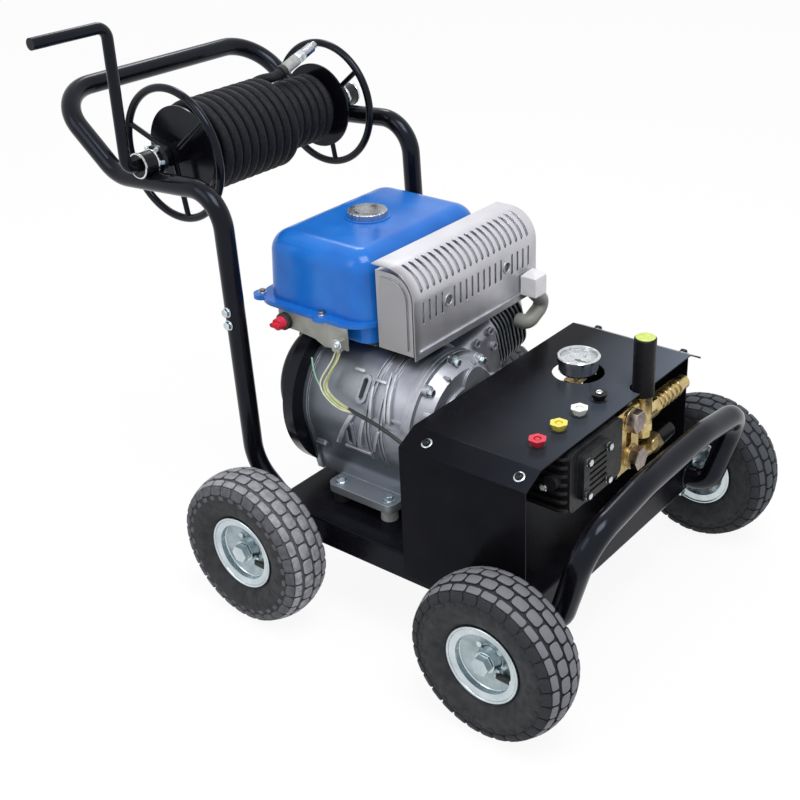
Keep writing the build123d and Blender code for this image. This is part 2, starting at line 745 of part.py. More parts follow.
# Starter cover: a domed shell with a ring of cooling slots and a guide for the starter cord
grip_y = -45.0
grip_z = 392.0
grip_x = -84.0
with BuildPart() as recoil_cover:
    with BuildSketch(at_y(crank_axis_y, 0, crank_axis_z)):
        with BuildLine():
            Polyline((-22.5, 104), (-20, 104), (-20, 90.5), (-54, 87.5))
            ThreePointArc((-54, 87.5), (-60.5, 84.5), (-63.5, 78))
            Polyline((-63.5, 78), (-65.5, 0), (-68, 0), (-66, 80))
            ThreePointArc((-66, 80), (-62, 87), (-54, 90))
            Polyline((-54, 90), (-22.5, 93), (-22.5, 104))
        make_face()
    revolve(axis=crank_line)
    with BuildSketch(at_x(-70, crank_axis_y, crank_axis_z)):
        with PolarLocations(52, 16, start_angle=11):
            SlotOverall(38, 7)
    extrude(amount=8, mode=Mode.SUBTRACT)
    with BuildSketch(at_x(-63, grip_y, grip_z)):
        Circle(10)
    extrude(amount=-9)
    with BuildSketch(at_x(-60, grip_y, grip_z)):
        Circle(5.3)
    extrude(amount=-14, mode=Mode.SUBTRACT)
recoil_cover.part.label = "recoil_cover"
export_step(recoil_cover.part, "parts/recoil_cover.step")

# Starter grip: a waisted bar on the end of its cord
with BuildPart() as pull_handle:
    with BuildSketch(at_x(grip_x, grip_y, grip_z)):
        with BuildLine():
            Polyline((-44, 0), (-44, 7))
            ThreePointArc((-44, 7), (-30, 11), (-14, 9))
            Line((-14, 9), (14, 9))
            ThreePointArc((14, 9), (30, 11), (44, 7))
            Polyline((44, 7), (44, 0), (-44, 0))
        make_face()
    revolve(axis=across(grip_x, grip_z))
    with BuildSketch(at_x(grip_x, grip_y, grip_z)):
        Circle(5)
    extrude(amount=-(grip_x + 62))
pull_handle.part.label = "pull_handle"
export_step(pull_handle.part, "parts/pull_handle.step")

# Crankshaft: the drive shaft from the starter to inside the pump
shaft_rear = -52.0
shaft_front = 330.0
with BuildPart() as crankshaft:
    with BuildSketch(at_x(shaft_rear, crank_axis_y, crank_axis_z)):
        Circle(drive_r)
    extrude(amount=shaft_front - shaft_rear)
crankshaft.part.label = "crankshaft"
export_step(crankshaft.part, "parts/crankshaft.step")

# Flywheel: a disc with fan blades and the starter's cup
with BuildPart() as flywheel:
    with BuildSketch(at_x(-8, crank_axis_y, crank_axis_z)):
        Circle(118)
    extrude(amount=11)
    with BuildSketch(at_x(-46, crank_axis_y, crank_axis_z)):
        Circle(40)
    extrude(amount=40)
    with BuildSketch(at_x(-15, crank_axis_y, crank_axis_z)):
        with PolarLocations(86, 14):
            Rectangle(44, 4, rotation=18)
    extrude(amount=8)
    with BuildSketch(at_x(-50, crank_axis_y, crank_axis_z)):
        Circle(drive_r)
    extrude(amount=60, mode=Mode.SUBTRACT)
flywheel.part.label = "flywheel"
export_step(flywheel.part, "parts/flywheel.step")

# Switch plate: a bent plate hung under the tank's flange, with the switch base and a wire grommet
plate_y = -165.0
switch_x = -41.0
switch_z = 460.0
wire_start = (76.0, -172.0, 440.0)
wire_end = (322.0, -170.0, 323.0)
with BuildPart() as switch_bracket:
    with BuildSketch(at_y(plate_y)):
        with BuildLine():
            lower_edge = [(-57, 447), (-18, 447), (20, 443), (40, 434), (90, 440)]
            Polyline(*lower_edge, (90, 477), (-57, 477), close=True)
        make_face()
    extrude(amount=-sheet)
    with BuildSketch(at_z(475, 40, -153)):
        Rectangle(70, 22)
    extrude(amount=sheet)
    with BuildSketch(at_y(plate_y, switch_x, switch_z)):
        Circle(13.5)
    extrude(amount=10)
    with BuildSketch(at_y(plate_y, wire_start[0], wire_start[2] + 10)):
        RectangleRounded(16, 20, 3)
    extrude(amount=14)
switch_bracket.part.label = "switch_bracket"
export_step(switch_bracket.part, "parts/switch_bracket.step")

# Stop switch: a round knob with a grip across it
with BuildPart() as engine_switch:
    with BuildSketch(at_y(plate_y - 10.3, switch_x, switch_z)):
        Circle(11)
    extrude(amount=12, taper=6)
    with BuildSketch(at_y(plate_y - 22, switch_x, switch_z)):
        SlotOverall(19, 7)
    extrude(amount=7)
engine_switch.part.label = "engine_switch"
export_step(engine_switch.part, "parts/engine_switch.step")


def cord_bends(points):
    bends = []
    for a, b, c in zip(points, points[1:], points[2:]):
        run_in = Vector(b) - Vector(a)
        run_out = Vector(c) - Vector(b)
        half_turn = radians(run_in.get_angle(run_out) / 2)
        bends.append(0.45 * min(run_in.length, run_out.length) * cos(half_turn) / sin(half_turn))
    return bends


# Switch wires: one sleeved run from the switch plate, round the crankcase, to the pump
wire_r = 3.0
wire_points = [
    spot(*wire_start), spot(76, -172, 421), spot(66, -185, 406), spot(57, -196, 390),
    spot(66, -203, 374), spot(92, -206, 361), spot(128, -207, 354), spot(166, -207, 348),
    spot(203, -208, 338), spot(237, -207, 326), spot(267, -190, 320), spot(294, -170, 323),
    spot(*wire_end),
]
wire_bends = cord_bends(wire_points)
print("wire bend radii in mm:", [round(r) for r in wire_bends])
wire_run = pipe(wire_points, wire_bends, wire_r, 0)
with BuildPart() as switch_wires:
    add(wire_run)
switch_wires.part.label = "switch_wires"
export_step(switch_wires.part, "parts/switch_wires.step")

# Air cleaner: a lidded box beside the tank with a duct to the carburettor
box_x = -10.0
box_y = tank_left + 66
box_low = 433.0
lid_low = 493.0
duct_low = inlet_z - 20
duct_reach = box_y - inlet_y + 20
with BuildPart() as air_cleaner:
    with BuildSketch(at_z(box_low, box_x, box_y)):
        RectangleRounded(100, 90, 22)
    extrude(amount=lid_low - box_low)
    with BuildSketch(at_z(lid_low, box_x, box_y)):
        RectangleRounded(104, 94, 24)
    extrude(amount=22)
    fillet(air_cleaner.faces().sort_by(Axis.Z)[-1].edges(), 10)
    with BuildSketch(at_x(-20, (inlet_y + box_y) / 2 - 10, (duct_low + box_low) / 2)):
        Rectangle(duct_reach, box_low - duct_low)
    extrude(amount=-34)
air_cleaner.part.label = "air_cleaner"
export_step(air_cleaner.part, "parts/air_cleaner.step")

# Carburettor: a throat along X with a flange, a float bowl and bores for its two levers
lever_y = inlet_y + 17.3
choke_spot = (12.0, inlet_z + 6)
fuel_spot = (8.0, inlet_z - 28)
lever_pin = 3.0
with BuildPart() as carburettor:
    with BuildSketch(at_x(-20, inlet_y, inlet_z)):
        Circle(17)
    extrude(amount=50)
    with BuildSketch(at_x(24, inlet_y, inlet_z)):
        RectangleRounded(40, 48, 6)
    extrude(amount=6)
    with BuildSketch(at_z(inlet_z - 42, 8, inlet_y)):
        Circle(15)
    extrude(amount=34)
    with BuildSketch(at_y(lever_y - 0.3)):
        with Locations(choke_spot, fuel_spot):
            Circle(lever_pin + 3)
    extrude(amount=12)
    with BuildSketch(at_y(lever_y)):
        with Locations(choke_spot, fuel_spot):
            Circle(lever_pin + hub_play)
    extrude(amount=14, mode=Mode.SUBTRACT)
carburettor.part.label = "carburettor"
export_step(carburettor.part, "parts/carburettor.step")

# Choke and fuel levers: flat arms on pins
for lever, (pivot_x, pivot_z), reach in (("choke_lever", choke_spot, 28), ("fuel_lever", fuel_spot, -26)):
    with BuildPart() as arm:
        with BuildSketch(at_y(lever_y, pivot_x, pivot_z)):
            Circle(6)
            with Locations((0, reach / 2)):
                Rectangle(7, abs(reach))
            with Locations((0, reach)):
                Circle(4.5)
        extrude(amount=-3)
        with BuildSketch(at_y(lever_y, pivot_x, pivot_z)):
            Circle(lever_pin)
        extrude(amount=11)
    arm.part.label = lever
    export_step(arm.part, f"parts/{lever}.step")

# Oil filler cap, screwed into the crankcase's hidden side
with BuildPart() as oil_cap:
    with BuildSketch(at_y(oil_boss_y + 0.3, *oil_spot)):
        Circle(16)
        with PolarLocations(17, 8):
            Circle(3, mode=Mode.SUBTRACT)
    extrude(amount=-8)
    with BuildSketch(at_y(oil_boss_y + 8, *oil_spot)):
        SlotOverall(28, 6)
    extrude(amount=-8)
    with BuildSketch(at_y(oil_boss_y + 1, *oil_spot)):
        Circle(oil_r)
    extrude(amount=13)
oil_cap.part.label = "oil_cap"
export_step(oil_cap.part, "parts/oil_cap.step")

# Pump crankcase: a flanged neck on the engine, a finned box and a bolted front plate
pump_x = 310.0
pump_plate = 12.0
pump_z = 328.0
end_plate = (-92.0, 330.0)
plate_bolts = 56.0
with BuildPart() as pump_crankcase:
    with BuildSketch(at_x(side_cover_front, crank_axis_y, crank_axis_z)):
        Circle(50)
        with PolarLocations(50, 4, start_angle=45):
            Circle(11)
    extrude(amount=10)
    with BuildSketch(at_x(side_cover_front, crank_axis_y, crank_axis_z)):
        Circle(42)
    extrude(amount=pump_x - side_cover_front)
    with BuildSketch(at_x(pump_x, crank_axis_y + 8, pump_z)):
        RectangleRounded(146, 100, 12)
    extrude(amount=pump_front - pump_plate - pump_x)
    for i in range(7):
        with BuildSketch(at_z(282 + i * 14.5, 403, -83)):
            RectangleRounded(170, 150, 14)
        extrude(amount=4.5)
    with BuildSketch(at_x(pump_front - pump_plate, *end_plate)):
        RectangleRounded(plate_bolts + 22, plate_bolts + 22, 12)
    extrude(amount=pump_plate)
    with BuildSketch(at_x(pump_front, *end_plate)):
        with GridLocations(0, 10, 1, 6):
            SlotOverall(plate_bolts - 8, 4.5)
    extrude(amount=-5, mode=Mode.SUBTRACT)
    with BuildSketch(at_x(pump_front - 6, *end_plate)):
        with GridLocations(plate_bolts, plate_bolts, 2, 2):
            RegularPolygon(7, 6)
    extrude(amount=11)
    with BuildSketch(at_y(-140, 466, 332)):
        Circle(12)
    extrude(amount=26)
    with BuildSketch(at_x(wire_end[0], (wire_end[1] - 148) / 2 - 4, wire_end[2])):
        RectangleRounded(30, 16, 4)
    extrude(amount=18)
    with BuildSketch(at_x(side_cover_front - 1, crank_axis_y, crank_axis_z)):
        Circle(drive_r + hub_play)
    extrude(amount=shaft_front + 2 - side_cover_front, mode=Mode.SUBTRACT)
pump_crankcase.part.label = "pump_crankcase"
export_step(pump_crankcase.part, "parts/pump_crankcase.step")

# Pump head: a brass block with three valve chambers, bosses for its plugs and the gauge block on top
head_y = -4.0
head_face = 56.0
head_x = (350.0, 486.0)
head_z = (262.0, 373.0)
cap_face = 66.0
front_plugs = ((27.0, 356.0), (36.0, 287.0))
plug_columns = (364.0, 402.0, 440.0)
plug_rows = (290.0, 344.0)
plug_spots = [(x, z) for x in plug_columns for z in plug_rows]
with BuildPart() as pump_head:
    with BuildSketch(at_y(head_y, sum(head_x) / 2, sum(head_z) / 2)):
        RectangleRounded(head_x[1] - head_x[0], head_z[1] - head_z[0], 8)
    extrude(amount=head_y - head_face)
    with BuildSketch(at_z(head_z[0] - 4)):
        for x in plug_columns:
            with Locations((x, head_face - 13)):
                Circle(17)
    extrude(amount=head_z[1] - head_z[0] + 4)
    with BuildSketch(at_y(head_face - 2)):
        with Locations(*plug_spots):
            Circle(16)
    extrude(amount=head_face - 2 - cap_face)
    with BuildSketch(at_x(head_x[1], 26, 323)):
        RectangleRounded(16, 30, 5)
    extrude(amount=-12, mode=Mode.SUBTRACT)
    with BuildSketch(at_x(head_x[1])):
        with Locations(*front_plugs):
            Circle(20)
    extrude(amount=4)
    with BuildSketch(at_z(head_z[1], gauge_x, (38 + 78) / 2)):
        RectangleRounded(22, 40, 5)
    extrude(amount=9)
pump_head.part.label = "pump_head"
export_step(pump_head.part, "parts/pump_head.step")

# Head plugs: hexagon caps over the valves and two on the block's front end
with BuildPart() as head_plugs:
    with BuildSketch(at_y(cap_face)):
        with Locations(*plug_spots):
            RegularPolygon(15, 6)
    extrude(amount=-12)
    with BuildSketch(at_x(head_x[1] + 4)):
        with Locations(*front_plugs):
            RegularPolygon(19, 6)
    extrude(amount=15)
    chamfer(head_plugs.faces().filter_by(Axis.X).sort_by(Axis.X)[-2:].edges(), 1.5)
head_plugs.part.label = "head_plugs"
export_step(head_plugs.part, "parts/head_plugs.step")

# Unloader valve: an upright brass body beside the head, with a spindle for its knob
tail_z = 342.0
tail_from = knob_y + 21
spindle_r = 6.0
body_low = 306.0
body_top = 376.0
with BuildPart() as unloader_body:
    with BuildSketch(at_z(body_low, knob_x, knob_y)):
        Circle(15)
    extrude(amount=body_top - body_low)
    with BuildSketch(at_z(body_low + 12, knob_x, knob_y)):
        RegularPolygon(18, 6)
    extrude(amount=12)
    with BuildSketch(at_y(knob_y, knob_x - 8, tail_z - 6)):
        Circle(13)
    extrude(amount=knob_y - head_face)
    with BuildSketch(at_y(knob_y, knob_x, tail_z)):
        Circle(16)
    extrude(amount=knob_y - tail_from)
    with BuildSketch(at_z(body_top, knob_x, knob_y)):
        Circle(spindle_r)
    extrude(amount=30)
unloader_body.part.label = "unloader_body"
export_step(unloader_body.part, "parts/unloader_body.step")

# Outlet tail: a hexagon collar and a stout ridged hose tail with a rounded end
tail_to = 212.0
tail_r = 12.0
ridge_r = 14.6
ridge = 13.0
ridges_from = tail_from + 18
with BuildPart() as outlet_tail:
    with BuildSketch(at_y(tail_from, knob_x, tail_z)):
        RegularPolygon(17.5, 6)
    extrude(amount=-14)
    with BuildSketch(at_x(knob_x, 0, tail_z)):
        with BuildLine():
            steps = [(tail_from + 14, 5), (tail_from + 14, tail_r), (ridges_from, tail_r)]
            for i in range(6):
                steps += [(ridges_from + i * ridge, ridge_r), (ridges_from + (i + 1) * ridge, tail_r + 0.4)]
            steps += [(ridges_from + 6 * ridge, tail_r), (tail_to - 3, tail_r)]
            steps += [(tail_to, tail_r - 3), (tail_to, 5)]
            Polyline(*steps, close=True)
        make_face()
    revolve(axis=across(knob_x, tail_z))
    with BuildSketch(at_y(tail_from, knob_x, tail_z)):
        Circle(5)
    extrude(amount=-20, mode=Mode.SUBTRACT)
outlet_tail.part.label = "outlet_tail"
export_step(outlet_tail.part, "parts/outlet_tail.step")

# Inlet fitting: a brass boss and collar that end in a moulded hose connector
inlet_at = (480.0, 274.0)
with BuildPart() as inlet_elbow:
    with BuildSketch(at_y(head_face, *inlet_at)):
        Circle(14)
    extrude(amount=-56)
    with BuildSketch(at_x(inlet_at[0], head_face + 34, inlet_at[1] + 12)):
        Circle(11)
    extrude(amount=20)
    fillet(inlet_elbow.faces().sort_by(Axis.X)[-1].edges(), 4)
    with BuildSketch(at_y(head_face + 50, *inlet_at)):
        RegularPolygon(18, 6)
    extrude(amount=-16)
    with BuildSketch(at_y(head_face + 66, *inlet_at)):
        Circle(16)
    extrude(amount=-44, taper=4)
    with BuildSketch(at_y(head_face + 110, *inlet_at)):
        Circle(8)
    extrude(amount=60, mode=Mode.SUBTRACT)
inlet_elbow.part.label = "inlet_elbow"
export_step(inlet_elbow.part, "parts/inlet_elbow.step")

# Unloader knob: a plain round grip on the spindle, standing in the cover's notch
knob_low = body_top + 0.3
knob_top = 474.0
knob_r = 17.5
with BuildPart() as unloader_knob:
    with BuildSketch(at_x(knob_x, knob_y)):
        with BuildLine():
            Polyline((0, knob_low), (knob_r - 1, knob_low), (knob_r, knob_low + 1), (knob_r, knob_top - 1.5),
                     (knob_r - 1.5, knob_top), (0, knob_top), close=True)
        make_face()
    revolve(axis=Axis(spot(knob_x, knob_y, 0), (0, 0, 1)))
    with BuildSketch(at_z(knob_low, knob_x, knob_y)):
        Circle(spindle_r + hub_play)
    extrude(amount=30.5, mode=Mode.SUBTRACT)
unloader_knob.part.label = "unloader_knob"
export_step(unloader_knob.part, "parts/unloader_knob.step")

# Gauge: a turned case with a bezel, the dial, the pointer and the lens, on a threaded stem
gauge_r = 32.0
dial_z = 404.0
with BuildPart() as gauge_case:
    with BuildSketch(at_x(gauge_x, gauge_y)):
        with BuildLine():
            Polyline(
                (0, head_z[1] + 9), (7, head_z[1] + 9), (7, 389), (gauge_r - 3, 389), (gauge_r, 392),
                (gauge_r, 407), (gauge_r + 2, 408), (gauge_r + 2, gauge_top - 1.5),
                (gauge_r + 0.5, gauge_top), (gauge_r - 2.2, gauge_top), (gauge_r - 2.2, dial_z), (0, dial_z),
                close=True,
            )
        make_face()
    revolve(axis=Axis(spot(gauge_x, gauge_y, 0), (0, 0, 1)))
gauge_case.part.label = "gauge_case"
export_step(gauge_case.part, "parts/gauge_case.step")

with BuildPart() as gauge_dial:
    with BuildSketch(at_z(dial_z, gauge_x, gauge_y)):
        Circle(gauge_r - 2.4)
        Circle(1.55, mode=Mode.SUBTRACT)
    extrude(amount=1)
gauge_dial.part.label = "gauge_dial"
export_step(gauge_dial.part, "parts/gauge_dial.step")

with BuildPart() as gauge_needle:
    with BuildSketch(at_z(dial_z + 1.8, gauge_x, gauge_y)):
        Circle(3)
        with BuildLine():
            Polyline((-7, -1.6), (-7, 1.6), (20, 0.5), (20, -0.5), close=True)
        make_face()
    extrude(amount=1)
    with BuildSketch(at_z(dial_z + 0.2, gauge_x, gauge_y)):
        Circle(1.5)
    extrude(amount=2.2)
gauge_needle.part.label = "gauge_needle"
export_step(gauge_needle.part, "parts/gauge_needle.step")

with BuildPart() as gauge_lens:
    with BuildSketch(at_z(gauge_top - 5, gauge_x, gauge_y)):
        Circle(gauge_r - 2.3)
    extrude(amount=2)
gauge_lens.part.label = "gauge_lens"
export_step(gauge_lens.part, "parts/gauge_lens.step")

# Nozzle holders: four grommets in the cover, and the four nozzles that stand in them
socket_r = 7.2
holder_top = cover_top + 1.5
stem_low = 379.0
nozzle_h = 11.0
nozzle_mid_y = nozzle_first_y + 1.5 * nozzle_step
with BuildPart() as nozzle_holders:
    for low, high, radius in ((stem_low, cover_top, 10.9), (cover_top, holder_top, 12.0)):
        with BuildSketch(at_z(low, nozzle_x, nozzle_mid_y)):
            with GridLocations(1, nozzle_step, 1, 4):
                Circle(radius)
                Circle(socket_r, mode=Mode.SUBTRACT)
        extrude(amount=high - low)
nozzle_holders.part.label = "nozzle_holders"
export_step(nozzle_holders.part, "parts/nozzle_holders.step")

for i, colour in enumerate(("red", "yellow", "white", "black")):
    nozzle_y = nozzle_first_y + i * nozzle_step
    with BuildPart() as nozzle:
        with BuildSketch(at_z(stem_low, nozzle_x, nozzle_y)):
            Circle(socket_r - 0.3)
        extrude(amount=holder_top + 1 - stem_low)
        with BuildSketch(at_z(holder_top + 0.3, nozzle_x, nozzle_y)):
            RegularPolygon(9, 6)
        extrude(amount=nozzle_h, taper=-23)
        fillet(nozzle.edges().filter_by(Plane.XY, reverse=True).group_by(Axis.Z)[-1], 2)
        with BuildSketch(at_z(holder_top + nozzle_h + 0.3, nozzle_x, nozzle_y)):
            Circle(6)
        extrude(amount=-3, mode=Mode.SUBTRACT)
        with BuildSketch(at_z(holder_top + nozzle_h - 3, nozzle_x, nozzle_y)):
            RegularPolygon(4, 6)
        extrude(amount=2.5)
    nozzle.part.label = f"nozzle_{colour}"
    export_step(nozzle.part, f"parts/nozzle_{colour}.step")

# Reel bearings: turned blocks saddled on the handle loop's side runs
run_slope = (run_high[1] - run_low[1]) / (run_high[0] - run_low[0])
saddle_z = run_low[1] + run_slope * (reel_x - run_low[0])
saddle_line = Vector(run_high[0] - run_low[0], 0, run_high[1] - run_low[1])
with BuildPart() as reel_bearings:
    for side in (-1, 1):
        for width, radius in ((38, 19), (8, 24)):
            with BuildSketch(at_y(side * (250 if width == 38 else 220), reel_x, reel_z)):
                Circle(radius)
                Circle(shaft_r + hub_play, mode=Mode.SUBTRACT)
            extrude(amount=side * width)
        with BuildSketch(Plane(origin=spot(reel_x, side * handle_half, saddle_z), z_dir=saddle_line)):
            Circle(tube_r)
        extrude(amount=60, both=True, mode=Mode.SUBTRACT)
reel_bearings.part.label = "reel_bearings"
export_step(reel_bearings.part, "parts/reel_bearings.step")

# Reel drum: a tube between two discs, each with a wire ring held by three spokes
reel_line = across(reel_x, reel_z)
hub_r = 17.0
disc_r = 74.0
spoke_r = 4.5
with BuildPart() as reel_drum:
    with BuildSketch(at_y(drum_half, reel_x, reel_z)):
        Circle(drum_r)
        Circle(drum_r - 3, mode=Mode.SUBTRACT)
    extrude(amount=2 * drum_half)
    for side in (-1, 1):
        with BuildSketch(at_y(side * drum_half, reel_x, reel_z)):
            Circle(disc_r)
        extrude(amount=side * 3)
        with BuildSketch(at_y(side * (ring_y + 12), reel_x, reel_z)):
            Circle(hub_r)
        extrude(amount=side * (ring_y + 12 - drum_half + 8))
        with BuildSketch(at_x(reel_x, side * ring_y, reel_z)):
            with Locations((0, ring_r)):
                Circle(ring_bar)
        revolve(axis=reel_line)
        for turn in (40, 160, 280):
            outward = Vector(cos(radians(turn)), 0, sin(radians(turn)))
            with BuildSketch(Plane(origin=spot(reel_x, side * ring_y, reel_z), z_dir=outward)):
                Circle(spoke_r)
            extrude(amount=ring_r)
    with BuildSketch(at_y(ring_y + 20, reel_x, reel_z)):
        Circle(shaft_r)
    extrude(amount=2 * ring_y + 40, mode=Mode.SUBTRACT)
reel_drum.part.label = "reel_drum"
export_step(reel_drum.part, "parts/reel_drum.step")

# Reel shaft with its crank, bent from one bar at the end
crank_points = [
    spot(reel_x, -254, reel_z), spot(reel_x, crank_y, reel_z), spot(reel_x, crank_y, crank_top),
    spot(reel_x, crank_tip, crank_top),
]
crank_rod = pipe(crank_points, [16, 18], crank_bar, 0)
with BuildPart() as reel_crank:
    with BuildSketch(at_y(246, reel_x, reel_z)):
        Circle(shaft_r)
    extrude(amount=246 + 254)
    add(crank_rod)
reel_crank.part.label = "reel_crank"
export_step(reel_crank.part, "parts/reel_crank.step")

# Hose winding: the closed outer form of the wound hose, two layers deep but for the far end, and the
# short free end that rises to its coupling
hose_r = 8.7
winding_half = 157.0
top_layer_end = 64.0
layers = (drum_r + 0.3, 61.0, 78.3)
end_from = Vector(*spot(reel_x, 77, 781.5))
end_to = Vector(*spot(reel_x, 166, 812))
end_run = end_to - end_from
with BuildPart() as hose_winding:
    with BuildSketch(at_x(reel_x, 0, reel_z)):
        with BuildLine():
            inner, middle, outer = layers
            top_step = [(top_layer_end, outer), (top_layer_end + hose_r, middle)]
            ends = [(winding_half, middle), (winding_half, inner)]
            Polyline((-winding_half, inner), (-winding_half, outer), *top_step, *ends, close=True)
        make_face()
    revolve(axis=reel_line)
    with BuildSketch(Plane(origin=end_from, z_dir=end_run)):
        Circle(hose_r)
    extrude(amount=-30)
hose_winding.part.label = "hose_winding"
export_step(hose_winding.part, "parts/hose_winding.step")

# Hose coupling: the fitting on the free end of the hose, lying over the winding
with BuildPart() as hose_coupling:
    with BuildSketch(Plane(origin=end_from, z_dir=end_run)):
        Circle(11)
    extrude(amount=end_run.length)
    with BuildSketch(Plane(origin=end_from + end_run * 0.5, z_dir=end_run)):
        RegularPolygon(13.5, 6)
    extrude(amount=22)
hose_coupling.part.label = "hose_coupling"
export_step(hose_coupling.part, "parts/hose_coupling.step")
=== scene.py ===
import json
from math import asin, cos, pi, radians, sin, tau

import bpy
from mathutils import Matrix, Vector

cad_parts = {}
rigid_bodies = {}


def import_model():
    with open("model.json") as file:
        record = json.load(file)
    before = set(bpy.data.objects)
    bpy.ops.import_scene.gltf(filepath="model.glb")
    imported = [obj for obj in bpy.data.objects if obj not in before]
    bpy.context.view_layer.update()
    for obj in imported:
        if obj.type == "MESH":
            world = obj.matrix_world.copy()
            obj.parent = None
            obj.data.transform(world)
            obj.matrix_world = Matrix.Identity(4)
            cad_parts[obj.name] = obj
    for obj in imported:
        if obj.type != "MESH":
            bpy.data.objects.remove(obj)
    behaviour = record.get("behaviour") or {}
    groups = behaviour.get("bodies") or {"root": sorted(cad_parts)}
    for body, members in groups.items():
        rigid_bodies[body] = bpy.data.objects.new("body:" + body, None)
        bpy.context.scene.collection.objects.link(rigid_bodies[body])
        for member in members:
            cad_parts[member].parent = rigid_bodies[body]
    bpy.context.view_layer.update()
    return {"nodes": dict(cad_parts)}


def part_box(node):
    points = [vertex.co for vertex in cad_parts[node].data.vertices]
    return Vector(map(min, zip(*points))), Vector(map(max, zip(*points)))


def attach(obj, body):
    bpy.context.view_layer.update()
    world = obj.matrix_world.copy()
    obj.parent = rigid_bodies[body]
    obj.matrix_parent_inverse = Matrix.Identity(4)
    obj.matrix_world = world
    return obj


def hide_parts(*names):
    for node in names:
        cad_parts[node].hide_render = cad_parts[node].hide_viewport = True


bpy.ops.object.select_all(action="SELECT")
bpy.ops.object.delete()
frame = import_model()
nodes = frame["nodes"]
print("frame loaded:", len(nodes), "nodes")

mm = 0.001
# the wheels, and which way along Y the outer face of each one looks
corners = {"rear_right": -1, "rear_left": 1, "front_right": -1, "front_left": 1}


def middle(node):
    low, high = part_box(node)
    return (low + high) / 2


# places below are in millimetres forward of the rear axle, left of the centre line and up from the floor
rearAxle = (middle("rim_rear_right") + middle("rim_rear_left")) / 2


def spot(x, y, z):
    return Vector((rearAxle.x + x * mm, rearAxle.y + y * mm, z * mm))


# ways of working that several pieces share
def deselect():
    bpy.ops.object.select_all(action="DESELECT")


def selectOnly(*pieces):
    deselect()
    for piece in pieces:
        piece.select_set(True)
    bpy.context.view_layer.objects.active = pieces[0]


def named(name):
    piece = bpy.context.object
    piece.name = name
    piece.data.name = name
    return piece


def openMesh():
    bpy.ops.object.mode_set(mode="EDIT")
    bpy.ops.mesh.select_all(action="SELECT")


def closeMesh():
    bpy.ops.mesh.select_all(action="SELECT")
    bpy.ops.mesh.normals_make_consistent(inside=False)
    bpy.ops.object.mode_set(mode="OBJECT")


def pickFaces(piece, wanted):
    bpy.ops.object.mode_set(mode="OBJECT")
    for face in piece.data.polygons:
        face.select = wanted(face)
    for edge in piece.data.edges:
        edge.select = False
    for point in piece.data.vertices:
        point.select = False
    bpy.ops.object.mode_set(mode="EDIT")
    bpy.ops.mesh.select_mode(type="FACE")


looksUp = 0.9   # a face whose normal has a larger Z than this looks along its piece's axis


def drawOut(x, y, z):
    bpy.ops.mesh.extrude_region_move(TRANSFORM_OT_translate={"value": (x, y, z)})


def facing(axis, centre, turn=0.0):
    # the move that takes a piece made along Z at the origin to a place, looking along an axis
    aim = Vector(axis).to_track_quat("Z", "Y").to_matrix().to_4x4()
    return Matrix.Translation(centre) @ aim @ Matrix.Rotation(turn, 4, "Z")


def ring(count, start):
    # even steps round a circle from a start angle in degrees, each as a cosine and a sine
    angles = [radians(start) + i * tau / count for i in range(count)]
    return [(cos(angle), sin(angle)) for angle in angles]


def joined(parts, name):
    selectOnly(*parts)
    if len(parts) > 1:
        bpy.ops.object.join()
    return named(name)


def copied(source, places, name):
    twins = []
    for place in places:
        twin = source.copy()
        twin.data = source.data.copy()
        twin.data.transform(place)
        bpy.context.collection.objects.link(twin)
        twins.append(twin)
    bpy.data.objects.remove(source)
    return joined(twins, name)


def applied(piece, kind, settings):
    selectOnly(piece)
    change = piece.modifiers.new(kind.lower(), kind)
    for key, value in settings.items():
        setattr(change, key, value)
    bpy.ops.object.modifier_apply(modifier=change.name)


def smoothed(piece, angle=35):
    selectOnly(piece)
    bpy.ops.object.shade_smooth_by_angle(angle=radians(angle))
    return piece


def flatPlate(name, length, width):
    # a rectangle at the origin, sides in millimetres, to be drawn out
    deselect()
    bpy.ops.mesh.primitive_plane_add(size=1)
    piece = named(name)
    piece.data.transform(Matrix.Diagonal((length * mm, width * mm, 1, 1)))
    return piece


def turned(name, profile, steps, holed=False):
    # a disc is drawn out along Z through the stations of a profile, each a radius and a height in mm
    deselect()
    startR, startZ = profile[0]
    bpy.ops.mesh.primitive_circle_add(vertices=steps, radius=startR * mm, fill_type="NGON")
    piece = named(name)
    piece.data.transform(Matrix.Translation((0, 0, startZ * mm)))
    openMesh()
    for (oldR, oldZ), (newR, newZ) in zip(profile, profile[1:]):
        drawOut(0, 0, (newZ - oldZ) * mm)
        grow = newR / oldR
        bpy.ops.transform.resize(value=(grow, grow, 1), center_override=(0, 0, newZ * mm))
    if holed:
        # the two end discs give way to a wall between their rims
        pickFaces(piece, lambda face: len(face.vertices) > 4)
        bpy.ops.mesh.bridge_edge_loops()
    closeMesh()
    return smoothed(piece)


def coated(piece, finish):
    piece.data.materials.clear()
    piece.data.materials.append(finish)
    return piece


def fitted(piece, body, slot, *stoodFor):
    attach(piece, body)
    if stoodFor:
        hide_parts(*stoodFor)
    return piece


# colours are written as sRGB and turned to linear here
def linear(code):
    shares = [int(code[i:i + 2], 16) / 255 for i in (1, 3, 5)]
    return [s / 12.92 if s <= 0.04045 else ((s + 0.055) / 1.055) ** 2.4 for s in shares] + [1.0]


# a Mix of colours takes its share at socket 0 and its colours at 6 and 7, and gives the result at 2
def addNode(tree, kind, settings=None, links=None):
    node = tree.nodes.new("ShaderNode" + kind)
    for key, value in (settings or {}).items():
        if isinstance(key, int) or key in node.inputs:
            node.inputs[key].default_value = value
        else:
            setattr(node, key, value)
    for key, source in (links or {}).items():
        tree.links.new(source, node.inputs[key])
    return node


